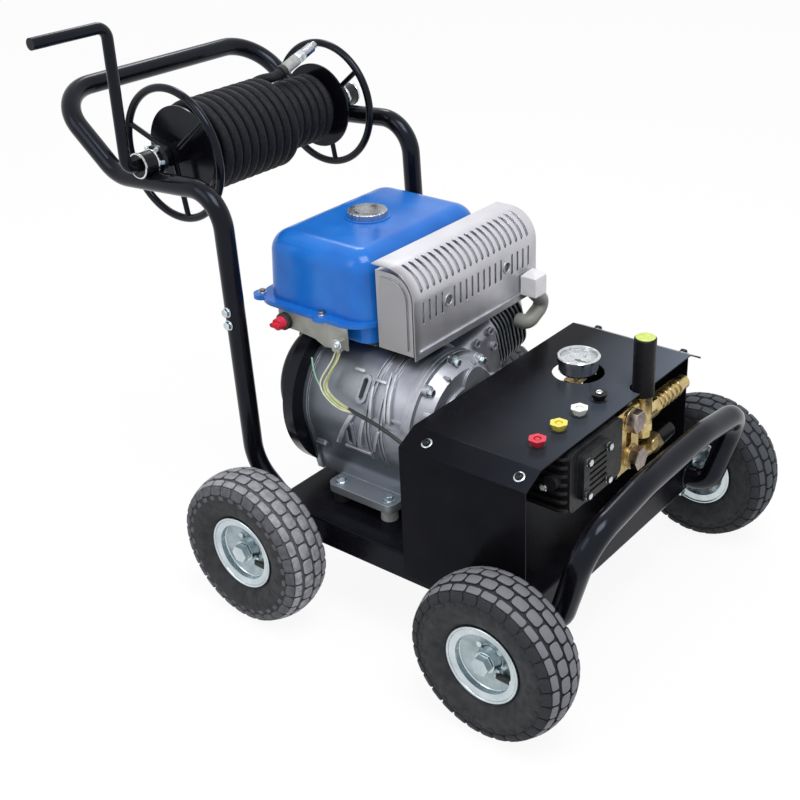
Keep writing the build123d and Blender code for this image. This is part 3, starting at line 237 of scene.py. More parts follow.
def startFinish(name, settings):
    finish = bpy.data.materials.new(name)
    finish.use_nodes = True
    tree = finish.node_tree
    shader = tree.nodes["Principled BSDF"]
    for socket, value in settings.items():
        shader.inputs[socket].default_value = value
    place = addNode(tree, "TexCoord").outputs["Object"]
    return finish, tree, shader, place


noiseSpan = (0.32, 0.68)   # where most of a noise's values lie


def patches(tree, place, size, low, high):
    # soft patches about size millimetres across, as a share that runs from low to high
    noise = addNode(tree, "TexNoise", {"Scale": 1 / (size * mm), "Detail": 3.0}, {"Vector": place})
    least, most = noiseSpan
    span = {"From Min": least, "From Max": most, "To Min": low, "To Max": high}
    return addNode(tree, "MapRange", span, {"Value": noise.outputs["Fac"]}).outputs["Result"]


def along(tree, place, axis, start, end, low=0.0):
    # a share that runs from low to 1 as a place in metres, or a direction, goes from start to end on an axis
    split = addNode(tree, "SeparateXYZ", None, {0: place})
    span = {"From Min": start, "From Max": end, "To Min": low}
    return addNode(tree, "MapRange", span, {"Value": split.outputs[axis]}).outputs["Result"]


def clouded(tree, place, size, dark, light):
    share = patches(tree, place, size, 0.0, 1.0)
    tones = {"data_type": "RGBA", 6: linear(dark), 7: linear(light)}
    return addNode(tree, "Mix", tones, {0: share}).outputs[2]


def banded(tree, place, colour, axis, start, end, tone):
    # another tone beyond a place on an axis, coming in from start to end, in millimetres
    zero = spot(0, 0, 0)["XYZ".index(axis)]
    share = along(tree, place, axis, zero + start * mm, zero + end * mm)
    return addNode(tree, "Mix", {"data_type": "RGBA", 7: linear(tone)}, {0: share, 6: colour}).outputs[2]


# dust and a painted sheen: a bluish tone on what faces up, in wide patches, more of it towards the far front
# corner, where the painted reflection of the sky is brightest; thin and thick mark its faintest and strongest
# places
dustAndSheen = {"tone": "#626b79", "size": 260, "least": 0.8, "facesUp": (0.55, 0.95), "nearShare": 0.1,
        "thin": (310, -230, 0), "thick": (500, 230, 0)}


def dustedAndSheened(tree, place, lay, colour):
    # painted sheen and dust: the share grows with how far a face looks up, and towards the far front corner
    thin, thick = spot(*dustAndSheen["thin"]), spot(*dustAndSheen["thick"])
    share = along(tree, lay, "Z", *dustAndSheen["facesUp"])
    for other in (patches(tree, place, dustAndSheen["size"], dustAndSheen["least"], 1.0),
                  along(tree, place, "X", thin.x, thick.x),
                  along(tree, place, "Y", thin.y, thick.y, dustAndSheen["nearShare"])):
        share = addNode(tree, "Math", {"operation": "MULTIPLY"}, {0: share, 1: other}).outputs[0]
    tone = {"data_type": "RGBA", 7: linear(dustAndSheen["tone"])}
    return addNode(tree, "Mix", tone, {0: share, 6: colour}).outputs[2]


# rubbing: edges rounded over a millimetre or so and worn to a lighter tone, unevenly
rubbing = {"samples": 4, "size": 9, "least": 0.3,
           "turn": (0.985, 0.9)}   # cosines of the turn where wear begins and where it is full


def rubbed(tree, place, lay, colour, tone, width, most):
    soft = addNode(tree, "Bevel", {"samples": rubbing["samples"], "Radius": width * mm}).outputs["Normal"]
    turn = addNode(tree, "VectorMath", {"operation": "DOT_PRODUCT"}, {0: soft, 1: lay}).outputs["Value"]
    slight, full = rubbing["turn"]
    span = {"From Min": slight, "From Max": full, "To Max": most}
    edge = addNode(tree, "MapRange", span, {"Value": turn}).outputs["Result"]
    uneven = patches(tree, place, rubbing["size"], rubbing["least"], 1.0)
    share = addNode(tree, "Math", {"operation": "MULTIPLY"}, {0: edge, 1: uneven}).outputs[0]
    light = {"data_type": "RGBA", 7: linear(tone)}
    return addNode(tree, "Mix", light, {0: share, 6: colour}).outputs[2], soft


def surface(name, tones, rough, toneSize, grain, settings=None, dusty=False, worn=None, bands=()):
    # two close tones in patches, roughness that wanders between two values, and a fine relief. Sizes are in
    # millimetres. A grain finer than about 0.8 mm would not show, so it is drawn that coarse or coarser.
    finish, tree, shader, place = startFinish(name, settings or {})
    lay = addNode(tree, "NewGeometry").outputs["Normal"]
    colour = clouded(tree, place, toneSize, *tones)
    for band in bands:
        colour = banded(tree, place, colour, *band)
    # a bluish tone of dust with a painted sheen of the sky on what faces up
    if dusty:
        colour = dustedAndSheened(tree, place, lay, colour)
    relief = {}
    if worn:
        colour, relief["Normal"] = rubbed(tree, place, lay, colour, *worn)
    size, depth = grain
    noise = addNode(tree, "TexNoise", {"Scale": 1 / (size * mm), "Detail": 2.0}, {"Vector": place})
    relief["Height"] = noise.outputs["Fac"]
    bump = addNode(tree, "Bump", {"Strength": 1.0, "Distance": depth * mm}, relief)
    gloss = patches(tree, place, toneSize * 0.6, *rough)   # in somewhat smaller patches than the tones
    tree.links.new(colour, shader.inputs["Base Color"])
    tree.links.new(gloss, shader.inputs["Roughness"])
    tree.links.new(bump.outputs["Normal"], shader.inputs["Normal"])
    return finish


metal = {"Metallic": 1.0}
coolSheen = linear("#c6d2ea")   # the black coats mirror the sky a little blue
finishes = {
    # gloss powder coat on tube: near black with a faint orange peel
    "black_paint": surface("black_powder_coat", ("#0a0a0e", "#0f0f14"), (0.15, 0.23), 45, (2.2, 0.012),
                           {"Specular IOR Level": 0.27, "Specular Tint": coolSheen}),
    # bright zinc plate on pressed steel: bluish white metal with faint clouds
    "zinc": surface("zinc_plate", ("#b3c0c5", "#d2dade"), (0.2, 0.32), 40, (1.4, 0.006), metal),
    # vulcanised rubber: charcoal, dusty, rough to the touch
    "tyre_rubber": surface("tyre_rubber", ("#242528", "#333437"), (0.55, 0.75), 16, (2.0, 0.2),
                           {"Specular IOR Level": 0.25}),
    # sand-cast aluminium: grey metal with a sandy skin and bright edges; painted shade makes it darker at the
    # rear, towards the sump and round the cylinder's head, and the feet under the sump take a lighter tone
    # again
    "cast_alloy": surface("cast_aluminium", ("#8f929b", "#aaacb5"), (0.34, 0.46), 45, (1.7, 0.06),
                          {"Metallic": 0.75}, worn=("#dedfe4", 1.4, 0.9),
                          # painted shade: darker at the rear, towards the sump, and above and beyond the
                          # cylinder's head; the feet lighter again below it
                          bands=[("X", 180, 60, "#747a83"), ("Z", 296, 276, "#666c75"),
                                 ("Z", 246, 236, "#9aa0a9"), ("Z", 424, 436, "#39414a"),
                                 ("Y", 82, 100, "#4a5158")]),
    # stoved blue enamel on the pressed tank: deep and glossy, with wide faint clouds
    "blue_paint": surface("blue_enamel", ("#145fb6", "#2070c8"), (0.14, 0.24), 90, (2.5, 0.01),
                          {"Specular IOR Level": 0.28}),
    # aluminised sheet steel: soft grey metal, with a painted highlight paler over the top and painted shade
    # greyer on its near end
    "silencer_steel": surface("aluminised_steel", ("#adadb3", "#c0c0c6"), (0.3, 0.4), 60, (1.5, 0.012),
                              {"Metallic": 0.8}, worn=("#e6e6ea", 0.8, 0.7),
                              # painted highlight over the top, painted shade on the near end
                              bands=[("Z", 535, 562, "#cdcdd3"), ("Y", -122, -139, "#98989b")]),
    # moulded ABS: black with a fine grain, or pale grey with painted shade darkening it below the plug's hood
    "black_plastic": surface("moulded_abs_black", ("#0b0b0e", "#121216"), (0.36, 0.48), 14, (0.9, 0.03),
                             {"Specular IOR Level": 0.2}),
    "grey_plastic": surface("moulded_abs_grey", ("#dadade", "#e8e8ec"), (0.42, 0.55), 20, (0.9, 0.02),
                            # painted shade below the plug's hood
                            worn=("#f2f2f4", 1.2, 0.6), bands=[("Z", 456, 449, "#8b8c86")]),
    # moulded nylon: the clear colours of three nozzles, red on the stop switch too, half dull
    "red_plastic": surface("moulded_nylon_red", ("#c2203a", "#d83048"), (0.3, 0.42), 8, (0.8, 0.02)),
    "yellow_plastic": surface("moulded_nylon_yellow", ("#d9c945", "#e8da66"), (0.3, 0.42), 8, (0.8, 0.02)),
    "white_plastic": surface("moulded_nylon_white", ("#e0e0de", "#efefee"), (0.3, 0.42), 8, (0.8, 0.02)),
    # polished chrome plate: nearly a mirror
    "chrome": surface("chrome_plate", ("#cfd2d6", "#dfe1e4"), (0.06, 0.14), 20, (2.0, 0.004), metal),
    # forged and machined brass: pale and a little dull, bright along its edges
    "brass": surface("machined_brass", ("#ad975f", "#d6c18c"), (0.24, 0.36), 18, (1.1, 0.03), metal,
                     worn=("#f2e8c4", 1.2, 0.9)),
    # turned mild steel: plain grey metal, half bright
    "steel": surface("turned_steel", ("#8d9196", "#a9adb2"), (0.28, 0.42), 15, (0.8, 0.012), metal),
    # grey iron casting under thin black paint: a sandy skin, rubbed through on its edges
    "iron": surface("painted_cast_iron", ("#17181b", "#242528"), (0.4, 0.52), 16, (1.4, 0.08),
                    {"Specular IOR Level": 0.25}, worn=("#5a564c", 1.0, 0.7)),
    # moulded rubber: dull black
    "rubber": surface("moulded_rubber", ("#131416", "#1d1e20"), (0.5, 0.65), 8, (0.9, 0.03)),
    # textile-covered rubber hose: black, dull and rough
    "hose_cover": surface("hose_textile", ("#0c0d12", "#181a20"), (0.5, 0.7), 5, (1.6, 0.3),
                          {"Specular IOR Level": 0.2}),
    # vinyl on the wire run: straw-coloured as far as the leads reach, black beyond
    "wire_sleeve": surface("vinyl_sleeve", ("#a0a37a", "#b4b793"), (0.35, 0.5), 12, (0.8, 0.02),
                           bands=[("X", 118, 123, "#131417")]),
    # enamelled dial sheet: even white with a soft shine
    "dial_white": surface("dial_enamel", ("#dfe0e4", "#ebecee"), (0.4, 0.5), 10, (1.0, 0.005)),
}
# powder coat on the folded cover: flatter than on the tubes, with bluish dust and a painted sheen on top
sheetCoat = surface("black_sheet_coat", ("#0d0d11", "#131317"), (0.16, 0.28), 60, (2.2, 0.012),
                    {"Specular IOR Level": 0.05, "Specular Tint": coolSheen}, dusty=True)
# the same coat on the tray, kept cleaner under the engine
trayCoat = surface("black_tray_coat", ("#0b0b10", "#121218"), (0.2, 0.3), 70, (2.2, 0.012),
                   {"Specular IOR Level": 0.09, "Specular Tint": coolSheen})
# zinc passivated to a pale straw, on the switch plate: half dull, brighter along its edges
strawZinc = surface("straw_zinc", ("#90918b", "#a7a8a1"), (0.36, 0.5), 30, (1.2, 0.01), {"Metallic": 0.55},
                    worn=("#d5d6d0", 1.0, 0.8))
# brass gone grey with handling, on the plugs and the tank's bolts
dullBrass = surface("dull_brass", ("#85787c", "#a89c90"), (0.24, 0.36), 12, (0.9, 0.02), metal,
                    worn=("#d8cdbd", 0.9, 0.7))
# satin nickel plate: soft bright metal
nickel = surface("satin_nickel", ("#9fa2a7", "#bdbfc4"), (0.16, 0.28), 25, (1.4, 0.006), metal)
# zinc plate gone duller inside the rims
dullZinc = surface("dull_zinc", ("#8f9da2", "#adb9be"), (0.22, 0.36), 22, (1.4, 0.006), metal)
# cast aluminium in a lighter tone, a painted highlight on the casting's ribs and the guard's rolled edges
highlitAlloy = surface("aluminium_painted_highlight", ("#a4a7af", "#bec0c8"), (0.34, 0.46), 20, (1.6, 0.06),
                       {"Metallic": 0.75}, worn=("#e8e9ed", 1.2, 0.9))
# brass fitting whose outer half is a black moulded connector
quickFitting = surface("brass_and_connector", ("#8f7d50", "#b8a678"), (0.25, 0.38), 24, (1.1, 0.02),
                       {"Metallic": 0.85}, bands=[("Y", 118, 121, "#17161b")])
# rubber of the tread blocks: rubbed grey on the ground, with painted shade darkening it on the front wheels
# and more on the far wheels
treadWearAndShade = surface("tread_rubber_wear_and_painted_shade", ("#7d7e83", "#9b9ca1"), (0.6, 0.8), 11, (1.6, 0.1),
                    {"Specular IOR Level": 0.25},
                    # painted shade: darker on the front wheels, darker still on the far wheels
                    bands=[("X", 150, 350, "#707177"), ("Y", 0, 200, "#44474d")])
# rubber between the blocks: grey with dust, with painted shade darkening it on the front wheels
grooveRubber = surface("groove_rubber_dust_and_painted_shade", ("#4a4b50", "#5c5d62"), (0.6, 0.8), 9, (1.6, 0.15),
                       # painted shade on the front wheels
                       {"Specular IOR Level": 0.2}, bands=[("X", 150, 350, "#2d2e32")])
# bush rubber under the engine's feet: pale at the front pair, black at the rear pair
bushRubber = surface("bush_rubber", ("#8f9090", "#a5a6a6"), (0.5, 0.62), 10, (0.9, 0.03),
                     bands=[("X", 140, 120, "#17181a")])
# rubber sleeve at the hose's end: dull grey
sleeveRubber = surface("sleeve_rubber", ("#8f9090", "#a5a6a6"), (0.5, 0.62), 10, (0.9, 0.03))
# black oxide on screws: dark with a half-metal shine
blackOxide = surface("black_oxide", ("#121315", "#1d1e21"), (0.26, 0.36), 8, (0.8, 0.01), {"Metallic": 0.5})
# leaf-green nylon moulding on the pressure knob's top
limePlastic = surface("moulded_nylon_lime", ("#b4c850", "#c6d678"), (0.32, 0.42), 8, (0.8, 0.02))
# vinyl insulation on the thin leads: pale and slightly glossy
greenVinyl = surface("vinyl_green", ("#6a9a80", "#83b197"), (0.35, 0.5), 8, (0.8, 0.02))
yellowVinyl = surface("vinyl_yellow", ("#a6a873", "#babc90"), (0.35, 0.5), 8, (0.8, 0.02))
creamVinyl = surface("vinyl_cream", ("#b9b99a", "#cfcfb6"), (0.35, 0.5), 8, (0.8, 0.02))


def clearLens():
    # acrylic gauge lens: clear, with faint smears in its gloss
    finish, tree, shader, place = startFinish("clear_acrylic", {"Transmission Weight": 1.0, "IOR": 1.49})
    colour = clouded(tree, place, size=20, dark="#f4f7f7", light="#fbfdfd")
    gloss = patches(tree, place, size=12, low=0.02, high=0.06)
    tree.links.new(colour, shader.inputs["Base Color"])
    tree.links.new(gloss, shader.inputs["Roughness"])
    return finish


finishes["lens_glass"] = clearLens()
ownFinish = {
    "switch_bracket": strawZinc, "head_plugs": dullBrass, "fuel_cap": nickel, "inlet_elbow": quickFitting,
    "engine_mounts": bushRubber, "gauge_needle": blackOxide, "axles": finishes["zinc"],
    "reel_bearings": blackOxide, "pump_cover": sheetCoat, "base_tray": trayCoat,
}
for name, node in nodes.items():
    for i, slot in enumerate(node.data.materials):
        node.data.materials[i] = ownFinish.get(name) or finishes[slot.name.split(".")[0]]
print("finishes put on:", len(finishes), "by slot,", len(ownFinish), "by node")

# camera at the photograph's angle
view = {
    "place": (1.27585, -1.4836, 1.3250), "azimuth": 38.119, "elevation": 27.192, "roll": -1.703,
    "sensor": 36, "lens": 58.47, "shift": (-0.0579, -0.0268),
}


def aimCamera():
    az, el = radians(view["azimuth"]), radians(view["elevation"])
    back = Vector((sin(az) * cos(el), -cos(az) * cos(el), sin(el)))
    right = Vector((cos(az), sin(az), 0))
    up = back.cross(right)
    aim = Matrix((right, up, back)).transposed().to_4x4() @ Matrix.Rotation(radians(view["roll"]), 4, "Z")
    bpy.ops.object.camera_add()
    camera = bpy.context.object
    camera.matrix_world = Matrix.Translation(view["place"]) @ aim
    camera.data.sensor_width = view["sensor"]
    camera.data.lens = view["lens"]
    camera.data.shift_x, camera.data.shift_y = view["shift"]
    bpy.context.scene.camera = camera


# studio: a white sky, a pale floor and soft lamps, each with its place, size in metres and watts
studio = {
    "white": "#ffffff", "skyLight": 0.6, "floorSize": 60.0, "floorTones": ("#f6f6f6", "#f9f9f9"),
    "floorPatch": 900, "floorGlow": 0.92, "lampsAim": (0, 0, 0.35),
    "lamps": [("keyLamp", (1.3, -0.7, 3.6), 1.8, 90), ("sideLamp", (-0.9, -2.6, 2.4), 1.6, 17),
              ("backLamp", (-1.6, 1.5, 2.6), 0.7, 12)],
}


def seenRays(tree):
    # 1 for what the camera, a mirror or a lens sees, 0 for the light that falls on things
    path = addNode(tree, "LightPath").outputs
    most = path["Is Camera Ray"]
    for kind in ("Is Glossy Ray", "Is Transmission Ray"):
        most = addNode(tree, "Math", {"operation": "MAXIMUM"}, {0: most, 1: path[kind]}).outputs[0]
    return most


def whiteSky():
    world = bpy.data.worlds.new("pale_sky")
    bpy.context.scene.world = world
    world.use_nodes = True
    tree = world.node_tree
    span = {"To Min": studio["skyLight"], "To Max": 1.0}
    level = addNode(tree, "MapRange", span, {"Value": seenRays(tree)})
    sky = tree.nodes["Background"]
    sky.inputs["Color"].default_value = linear(studio["white"])
    tree.links.new(level.outputs["Result"], sky.inputs["Strength"])


def paleFloor():
    deselect()
    bpy.ops.mesh.primitive_plane_add(size=studio["floorSize"])
    floor = named("floor")
    finish, tree, shader, place = startFinish("pale_floor", {"Roughness": 0.9, "Specular IOR Level": 0.1})
    colour = clouded(tree, place, studio["floorPatch"], *studio["floorTones"])
    tree.links.new(colour, shader.inputs["Base Color"])
    # what is seen of the floor is mostly white of its own, and the rest keeps the shadow
    glow = addNode(tree, "Emission", {"Color": linear(studio["white"]), "Strength": 1.0}).outputs[0]
    share = addNode(tree, "MapRange", {"To Max": studio["floorGlow"]}, {"Value": seenRays(tree)}).outputs[0]
    seen = addNode(tree, "MixShader", None, {0: share, 1: shader.outputs[0], 2: glow}).outputs[0]
    tree.links.new(seen, tree.nodes["Material Output"].inputs["Surface"])
    floor.data.materials.append(finish)


def hangLamps():
    for name, place, size, power in studio["lamps"]:
        bpy.ops.object.light_add(type="AREA", location=place)
        lamp = bpy.context.object
        lamp.name = name
        lamp.data.size = size
        lamp.data.energy = power
        down = Vector(studio["lampsAim"]) - Vector(place)
        lamp.rotation_euler = down.to_track_quat("-Z", "Y").to_euler()


bpy.context.scene.view_settings.view_transform = "Standard"
aimCamera()
whiteSky()
paleFloor()
hangLamps()
print("camera and studio set")


# cords: a smooth curve that a route's points steer, with a round section
def bentLine(name, points, diameter, finish):
    line = bpy.data.curves.new(name, "CURVE")
    line.dimensions = "3D"
    spline = line.splines.new("NURBS")
    spline.points.add(len(points) - 1)
    for point, place in zip(spline.points, points):
        point.co = (*place, 1.0)
    spline.order_u = 3
    spline.use_endpoint_u = True
    spline.resolution_u = 4
    line.bevel_depth = diameter / 2 * mm
    line.bevel_resolution = 5
    line.use_fill_caps = True
    line.materials.append(finish)
    piece = bpy.data.objects.new(name, line)
    bpy.context.collection.objects.link(piece)
    return piece


reelX, reelZ = -247.5, 705.0   # the reel's shaft

# hose end: a rubber band, a grey sleeve, a nut and a threaded tail
coupling = {
    "start": (reelX, 77.0, 781.5), "end": (reelX, 166.0, 812.0),
    "band": [(10.4, 0.0), (10.9, 0.6), (10.9, 8.4), (10.4, 9.0)],
    "sleeve": [(9.6, 9.0), (10.3, 10.5), (10.3, 40.5), (9.6, 42.0)],
    "nut": [(10.2, 42.0), (10.9, 43.0), (10.9, 57.0), (10.2, 58.0)],
    "shank": [(8.0, 58.0), (8.0, 61.0)], "threadTurns": 9, "pitch": 2.6, "ridge": 9.0,
    "tip": 6.8, "tipStep": 1.0, "tipLength": 8.0,
}


def threadedTail():
    profile = list(coupling["shank"])
    root, z = profile[-1]
    for i in range(coupling["threadTurns"]):
        profile += [(coupling["ridge"], z + coupling["pitch"] / 2), (root, z + coupling["pitch"])]
        z += coupling["pitch"]
    profile += [(coupling["tip"], z + coupling["tipStep"]), (coupling["tip"], z + coupling["tipLength"])]
    return turned("tail", profile, steps=24)


def hoseEnd():
    start, end = spot(*coupling["start"]), spot(*coupling["end"])
    parts = [
        coated(turned("band", coupling["band"], steps=32), finishes["rubber"]),
        coated(turned("sleeve", coupling["sleeve"], steps=32), sleeveRubber),
        coated(turned("nut", coupling["nut"], steps=6), finishes["zinc"]),
        coated(threadedTail(), nickel),
    ]
    piece = joined(parts, "hose_end")
    piece.data.transform(facing(end - start, start))
    return fitted(piece, "reel", "steel", "hose_coupling")


# hose: two layers wound on the drum, the end brought over the top into its coupling
hose = {
    "diameter": 17.4, "length": 9.25, "perTurn": 16, "pitch": 19.0, "innerR": 51.0, "outerR": 68.8,
    "endY": 147.5, "innerTurns": 15.5, "outerTurns": 9.6, "climbTurns": 0.6, "startAngle": 205,
    "tail": [(-67, 38, 6), (-53, 40, 44), (-30, 44, 64), (-9, 50, 71), (0, 60, 71), (0, 77, 76.5)],
}


def hosePoints():
    points = []
    bulge = 1 / cos(pi / hose["perTurn"])   # control points stand this much outside the curve
    turns = hose["innerTurns"] + hose["outerTurns"]
    for i in range(int(turns * hose["perTurn"]) + 1):
        turn = i / hose["perTurn"]
        climb = min(max((turn - hose["innerTurns"]) / hose["climbTurns"], 0.0), 1.0)
        radius = (hose["innerR"] + (hose["outerR"] - hose["innerR"]) * climb) * bulge
        back = min(turn, 2 * hose["innerTurns"] - turn)
        y = hose["endY"] - back * hose["pitch"]
        angle = radians(hose["startAngle"]) + (turns - turn) * tau
        points.append(spot(reelX + radius * cos(angle), y, reelZ + radius * sin(angle)))
    for x, y, z in hose["tail"]:
        points.append(spot(reelX + x, y, reelZ + z))
    return points


def woundHose():
    points = hosePoints()
    piece = bentLine("hose", points, hose["diameter"], finishes["hose_cover"])
    fitted(piece, "reel", "hose_cover", "hose_winding")
    hoseEnd()


woundHose()
print("hose wound")

# switch wires: a sleeved run round the crankcase to the pump, and three loose leads that join it
wires = {
    "wire_loom": {
        "diameter": 6.0, "length": 0.351, "finish": finishes["wire_sleeve"], "stoodFor": ["switch_wires"],
        "route": [(76, -172, 440), (72, -172, 423), (68, -185, 406), (66, -196, 391), (74, -203, 381),
                  (98.5, -206, 369), (134, -207, 363), (171.5, -207, 357), (211, -208, 346),
                  (237, -207, 334), (267, -190, 320), (294, -170, 323), (322, -170, 323)],
    },
    "yellow_lead": {
        "diameter": 2.8, "length": 0.14, "finish": yellowVinyl, "stoodFor": [],
        "route": [(82, -173, 447), (80, -176, 430), (74, -188, 414), (70, -199, 401), (68, -204, 391),
                  (76, -208, 380), (98, -211, 369), (118, -210, 364), (134, -207, 363)],
    },
    "cream_lead": {
        "diameter": 2.8, "length": 0.147, "finish": creamVinyl, "stoodFor": [],
        "route": [(74, -174, 446), (70, -177, 429), (64, -189, 412), (60, -200, 398), (61, -205, 389),
                  (72, -209, 377), (96, -212, 366), (118, -211, 362), (134, -207, 363)],
    },
    "green_lead": {
        "diameter": 2.8, "length": 0.129, "finish": greenVinyl, "stoodFor": [],
        "route": [(28, -184, 420), (36, -191, 407), (48, -199, 396), (60, -204, 388), (76, -208, 378),
                  (98, -211, 367), (118, -210, 362), (134, -207, 363)],
    },
}


def runWires():
    for name, wire in wires.items():
        points = [spot(*place) for place in wire["route"]]
        piece = bentLine(name, points, wire["diameter"], wire["finish"])
        fitted(piece, "chassis", "wire_sleeve", *wire["stoodFor"])


runWires()
print("wires run")

# tyres: a turned carcass with two rows of blocks on the crown, one on each shoulder, and lugs and knobs below
tread = {
    "carcass": [
        (52, -26), (63, -28.4), (66, -31), (72, -36), (84, -41), (95, -42), (106, -40.8), (115, -37),
        (120.5, -31), (123.5, -21), (125.5, -8), (125.5, 8), (123.5, 21), (120.5, 31), (115, 37),
        (106, 40.8), (95, 42), (84, 41), (72, 36), (66, 31), (63, 28.4), (52, 26),
    ],
    "steps": 96, "dustAndShadeFrom": 112, "count": 30, "crown": 129.4, "arch": 76.5, "height": 4.6,
    # each kind of block has its length round the wheel, its width and its height
    "rows": (-10.2, 10.2), "block": (23.8, 16.8, 4.6),
    "edges": (-28.2, 28.2), "edgeBlock": (23.0, 11.6, 4.6),
    "lug": (21.6, 14.0, 3.0), "lugR": 114.0, "lugW": 38.4, "lugLean": 65,
    "knob": (11.0, 7.0, 2.2), "knobR": 102.5, "knobW": 41.0, "knobLean": 84,
    # a corner's radius by the width, each lift by the height with the scale at its top, and the Z of a normal
    # above which a face is part of the block's top
    "round": 0.3, "lifts": ((0.8, 1.0), (0.2, 0.9)), "topFrom": 0.3,
}


def treadBlock(length, width, height, face):
    # local X runs round the wheel, Y across it and Z outwards
    block = flatPlate("block", length, width)
    block.data.transform(Matrix.Translation((0, 0, -height / 2 * mm)))
    openMesh()
    bpy.ops.mesh.bevel(offset=width * tread["round"] * mm, segments=3, affect="VERTICES")
    for rise, grow in tread["lifts"]:
        drawOut(0, 0, rise * height * mm)
        bpy.ops.transform.resize(value=(grow, grow, 1), center_override=(0, 0, 0))
    closeMesh()
    block.data.materials.append(grooveRubber)
    block.data.materials.append(face)
    for side in block.data.polygons:
        side.material_index = 1 if side.normal.z > tread["topFrom"] else 0
    return smoothed(block, angle=50)


def onCrown(w, turn):
    lean = asin(w / tread["arch"])
    radius = tread["crown"] - tread["arch"] * (1 - cos(lean)) - tread["height"] / 2
    out = Matrix.Translation((0, w * mm, radius * mm)) @ Matrix.Rotation(-lean, 4, "X")
    return Matrix.Rotation(turn, 4, "Y") @ out


def onWall(kind, side, turn):
    lean = Matrix.Rotation(-side * radians(tread[kind + "Lean"]), 4, "X")
    out = Matrix.Translation((0, side * tread[kind + "W"] * mm, tread[kind + "R"] * mm)) @ lean
    return Matrix.Rotation(turn, 4, "Y") @ out


def tyreCarcass():
    body = coated(turned("tyreBody", tread["carcass"], tread["steps"], holed=True), finishes["tyre_rubber"])
    body.data.transform(Matrix.Rotation(radians(-90), 4, "X"))
    body.data.materials.append(grooveRubber)
    for face in body.data.polygons:
        face.use_smooth = True
        reach = (face.center.x ** 2 + face.center.z ** 2) ** 0.5
        # faces out on the crown take the dusty groove rubber with its painted shade
        face.material_index = 1 if reach > tread["dustAndShadeFrom"] * mm else 0
    return body


def treadedTyre():
    step = tau / tread["count"]
    turns = [i * step for i in range(tread["count"])]
    crown = []
    shoulders = []
    for row in (0, 1):   # each row sits half a step on from its neighbour
        crown += [onCrown(tread["rows"][row], turn + 0.5 * row * step) for turn in turns]
        shoulders += [onCrown(tread["edges"][row], turn + 0.5 * (1 - row) * step) for turn in turns]
    ends = [(side, turn + 0.25 * (1 - side) * step) for side in (-1, 1) for turn in turns]
    lugs = [onWall("lug", side, turn) for side, turn in ends]
    knobs = [onWall("knob", side, turn + 0.5 * step) for side, turn in ends]
    parts = [
        tyreCarcass(),
        # the crown and shoulder blocks take the tread rubber with painted shade on the front and far wheels
        copied(treadBlock(*tread["block"], treadWearAndShade), crown, "treadBlocks"),
        copied(treadBlock(*tread["edgeBlock"], treadWearAndShade), shoulders, "edgeBlocks"),
        copied(treadBlock(*tread["lug"], grooveRubber), lugs, "shoulderLugs"),
        copied(treadBlock(*tread["knob"], grooveRubber), knobs, "wallKnobs"),
    ]
    return joined(parts, "tyre")


def fitTyres():
    pattern = treadedTyre()
    for corner in corners:
        tyre = bpy.data.objects.new("treaded_tyre_" + corner, pattern.data.copy())
        bpy.context.collection.objects.link(tyre)
        tyre.data.transform(Matrix.Translation(middle("tyre_" + corner)))
        fitted(tyre, "wheel_" + corner, "tyre_rubber", "tyre_" + corner)
    bpy.data.objects.remove(pattern)


# rim dishes: a bowl inside each rim's outer face, with a straight wall from its edge to the hub in front
dish = {
    "steps": 64,
    "profile": [(20.5, 9.4), (20.5, 10.0), (29.0, 10.3), (36.0, 11.0), (43.0, 12.6), (47.3, 15.5),
                (49.0, 20.0), (49.3, 28.6), (49.5, 28.6), (49.5, 19.6)],
}


def rimDishes():
    for corner, side in corners.items():
        bowl = coated(turned("rim_dish_" + corner, dish["profile"], dish["steps"], holed=True), dullZinc)
        bowl.data.transform(facing((0, side, 0), middle("tyre_" + corner)))
        fitted(bowl, "wheel_" + corner, "zinc")


# valve stems: a black rubber sleeve over the stem in each rim, with a bright foot at the rim
stem = {
    "from": (45.5, 19.0, -18.0), "steps": 20,
    "sleeve": [(4.4, 4.0), (5.0, 5.0), (4.8, 24.0), (3.6, 29.5), (2.6, 30.2)],
    "foot": [(4.4, -1.0), (4.6, 0.0), (4.6, 3.4), (4.2, 4.2)],
}


def valveStems():
    x, w, z = stem["from"]
    for corner, side in corners.items():
        parts = [coated(turned("sleeve", stem["sleeve"], stem["steps"]), finishes["rubber"]),
                 coated(turned("foot", stem["foot"], stem["steps"]), finishes["chrome"])]
        piece = joined(parts, "valve_" + corner)
        foot = middle("tyre_" + corner) + Vector((x, w * side, z)) * mm
        piece.data.transform(facing((-1, 0, 0), foot))
        fitted(piece, "wheel_" + corner, "rubber")


fitTyres()
rimDishes()
valveStems()
print("tyres, rim dishes and valve stems fitted")

# fixings: hexagon heads, and button heads with a socket
# a head is given its radius, height and washer's radius, and but for the washer's thickness and the steps
# these values are shares of them
hexForm = {
    "inset": 0.16, "dome": 0.09,
    "washerThick": 1.4, "washerWall": 0.8, "washerTop": 0.94, "washerSteps": 24,
}
buttonForm = {
    "profile": [(1.0, 0.0), (1.0, 0.3), (0.84, 0.78), (0.58, 1.0)], "steps": 24, "rim": 0.12, "socket": 0.6,
    "washerThick": 1.2, "washerWall": 0.8, "washerTop": 0.95, "washerSteps": 28,
}


def onWasher(head, radius, form, name):
    thick = form["washerThick"]
    profile = [(radius, 0), (radius, thick * form["washerWall"]), (radius * form["washerTop"], thick)]
    washer = coated(turned("washer", profile, form["washerSteps"]), finishes["zinc"])
    return joined([head, washer], name)


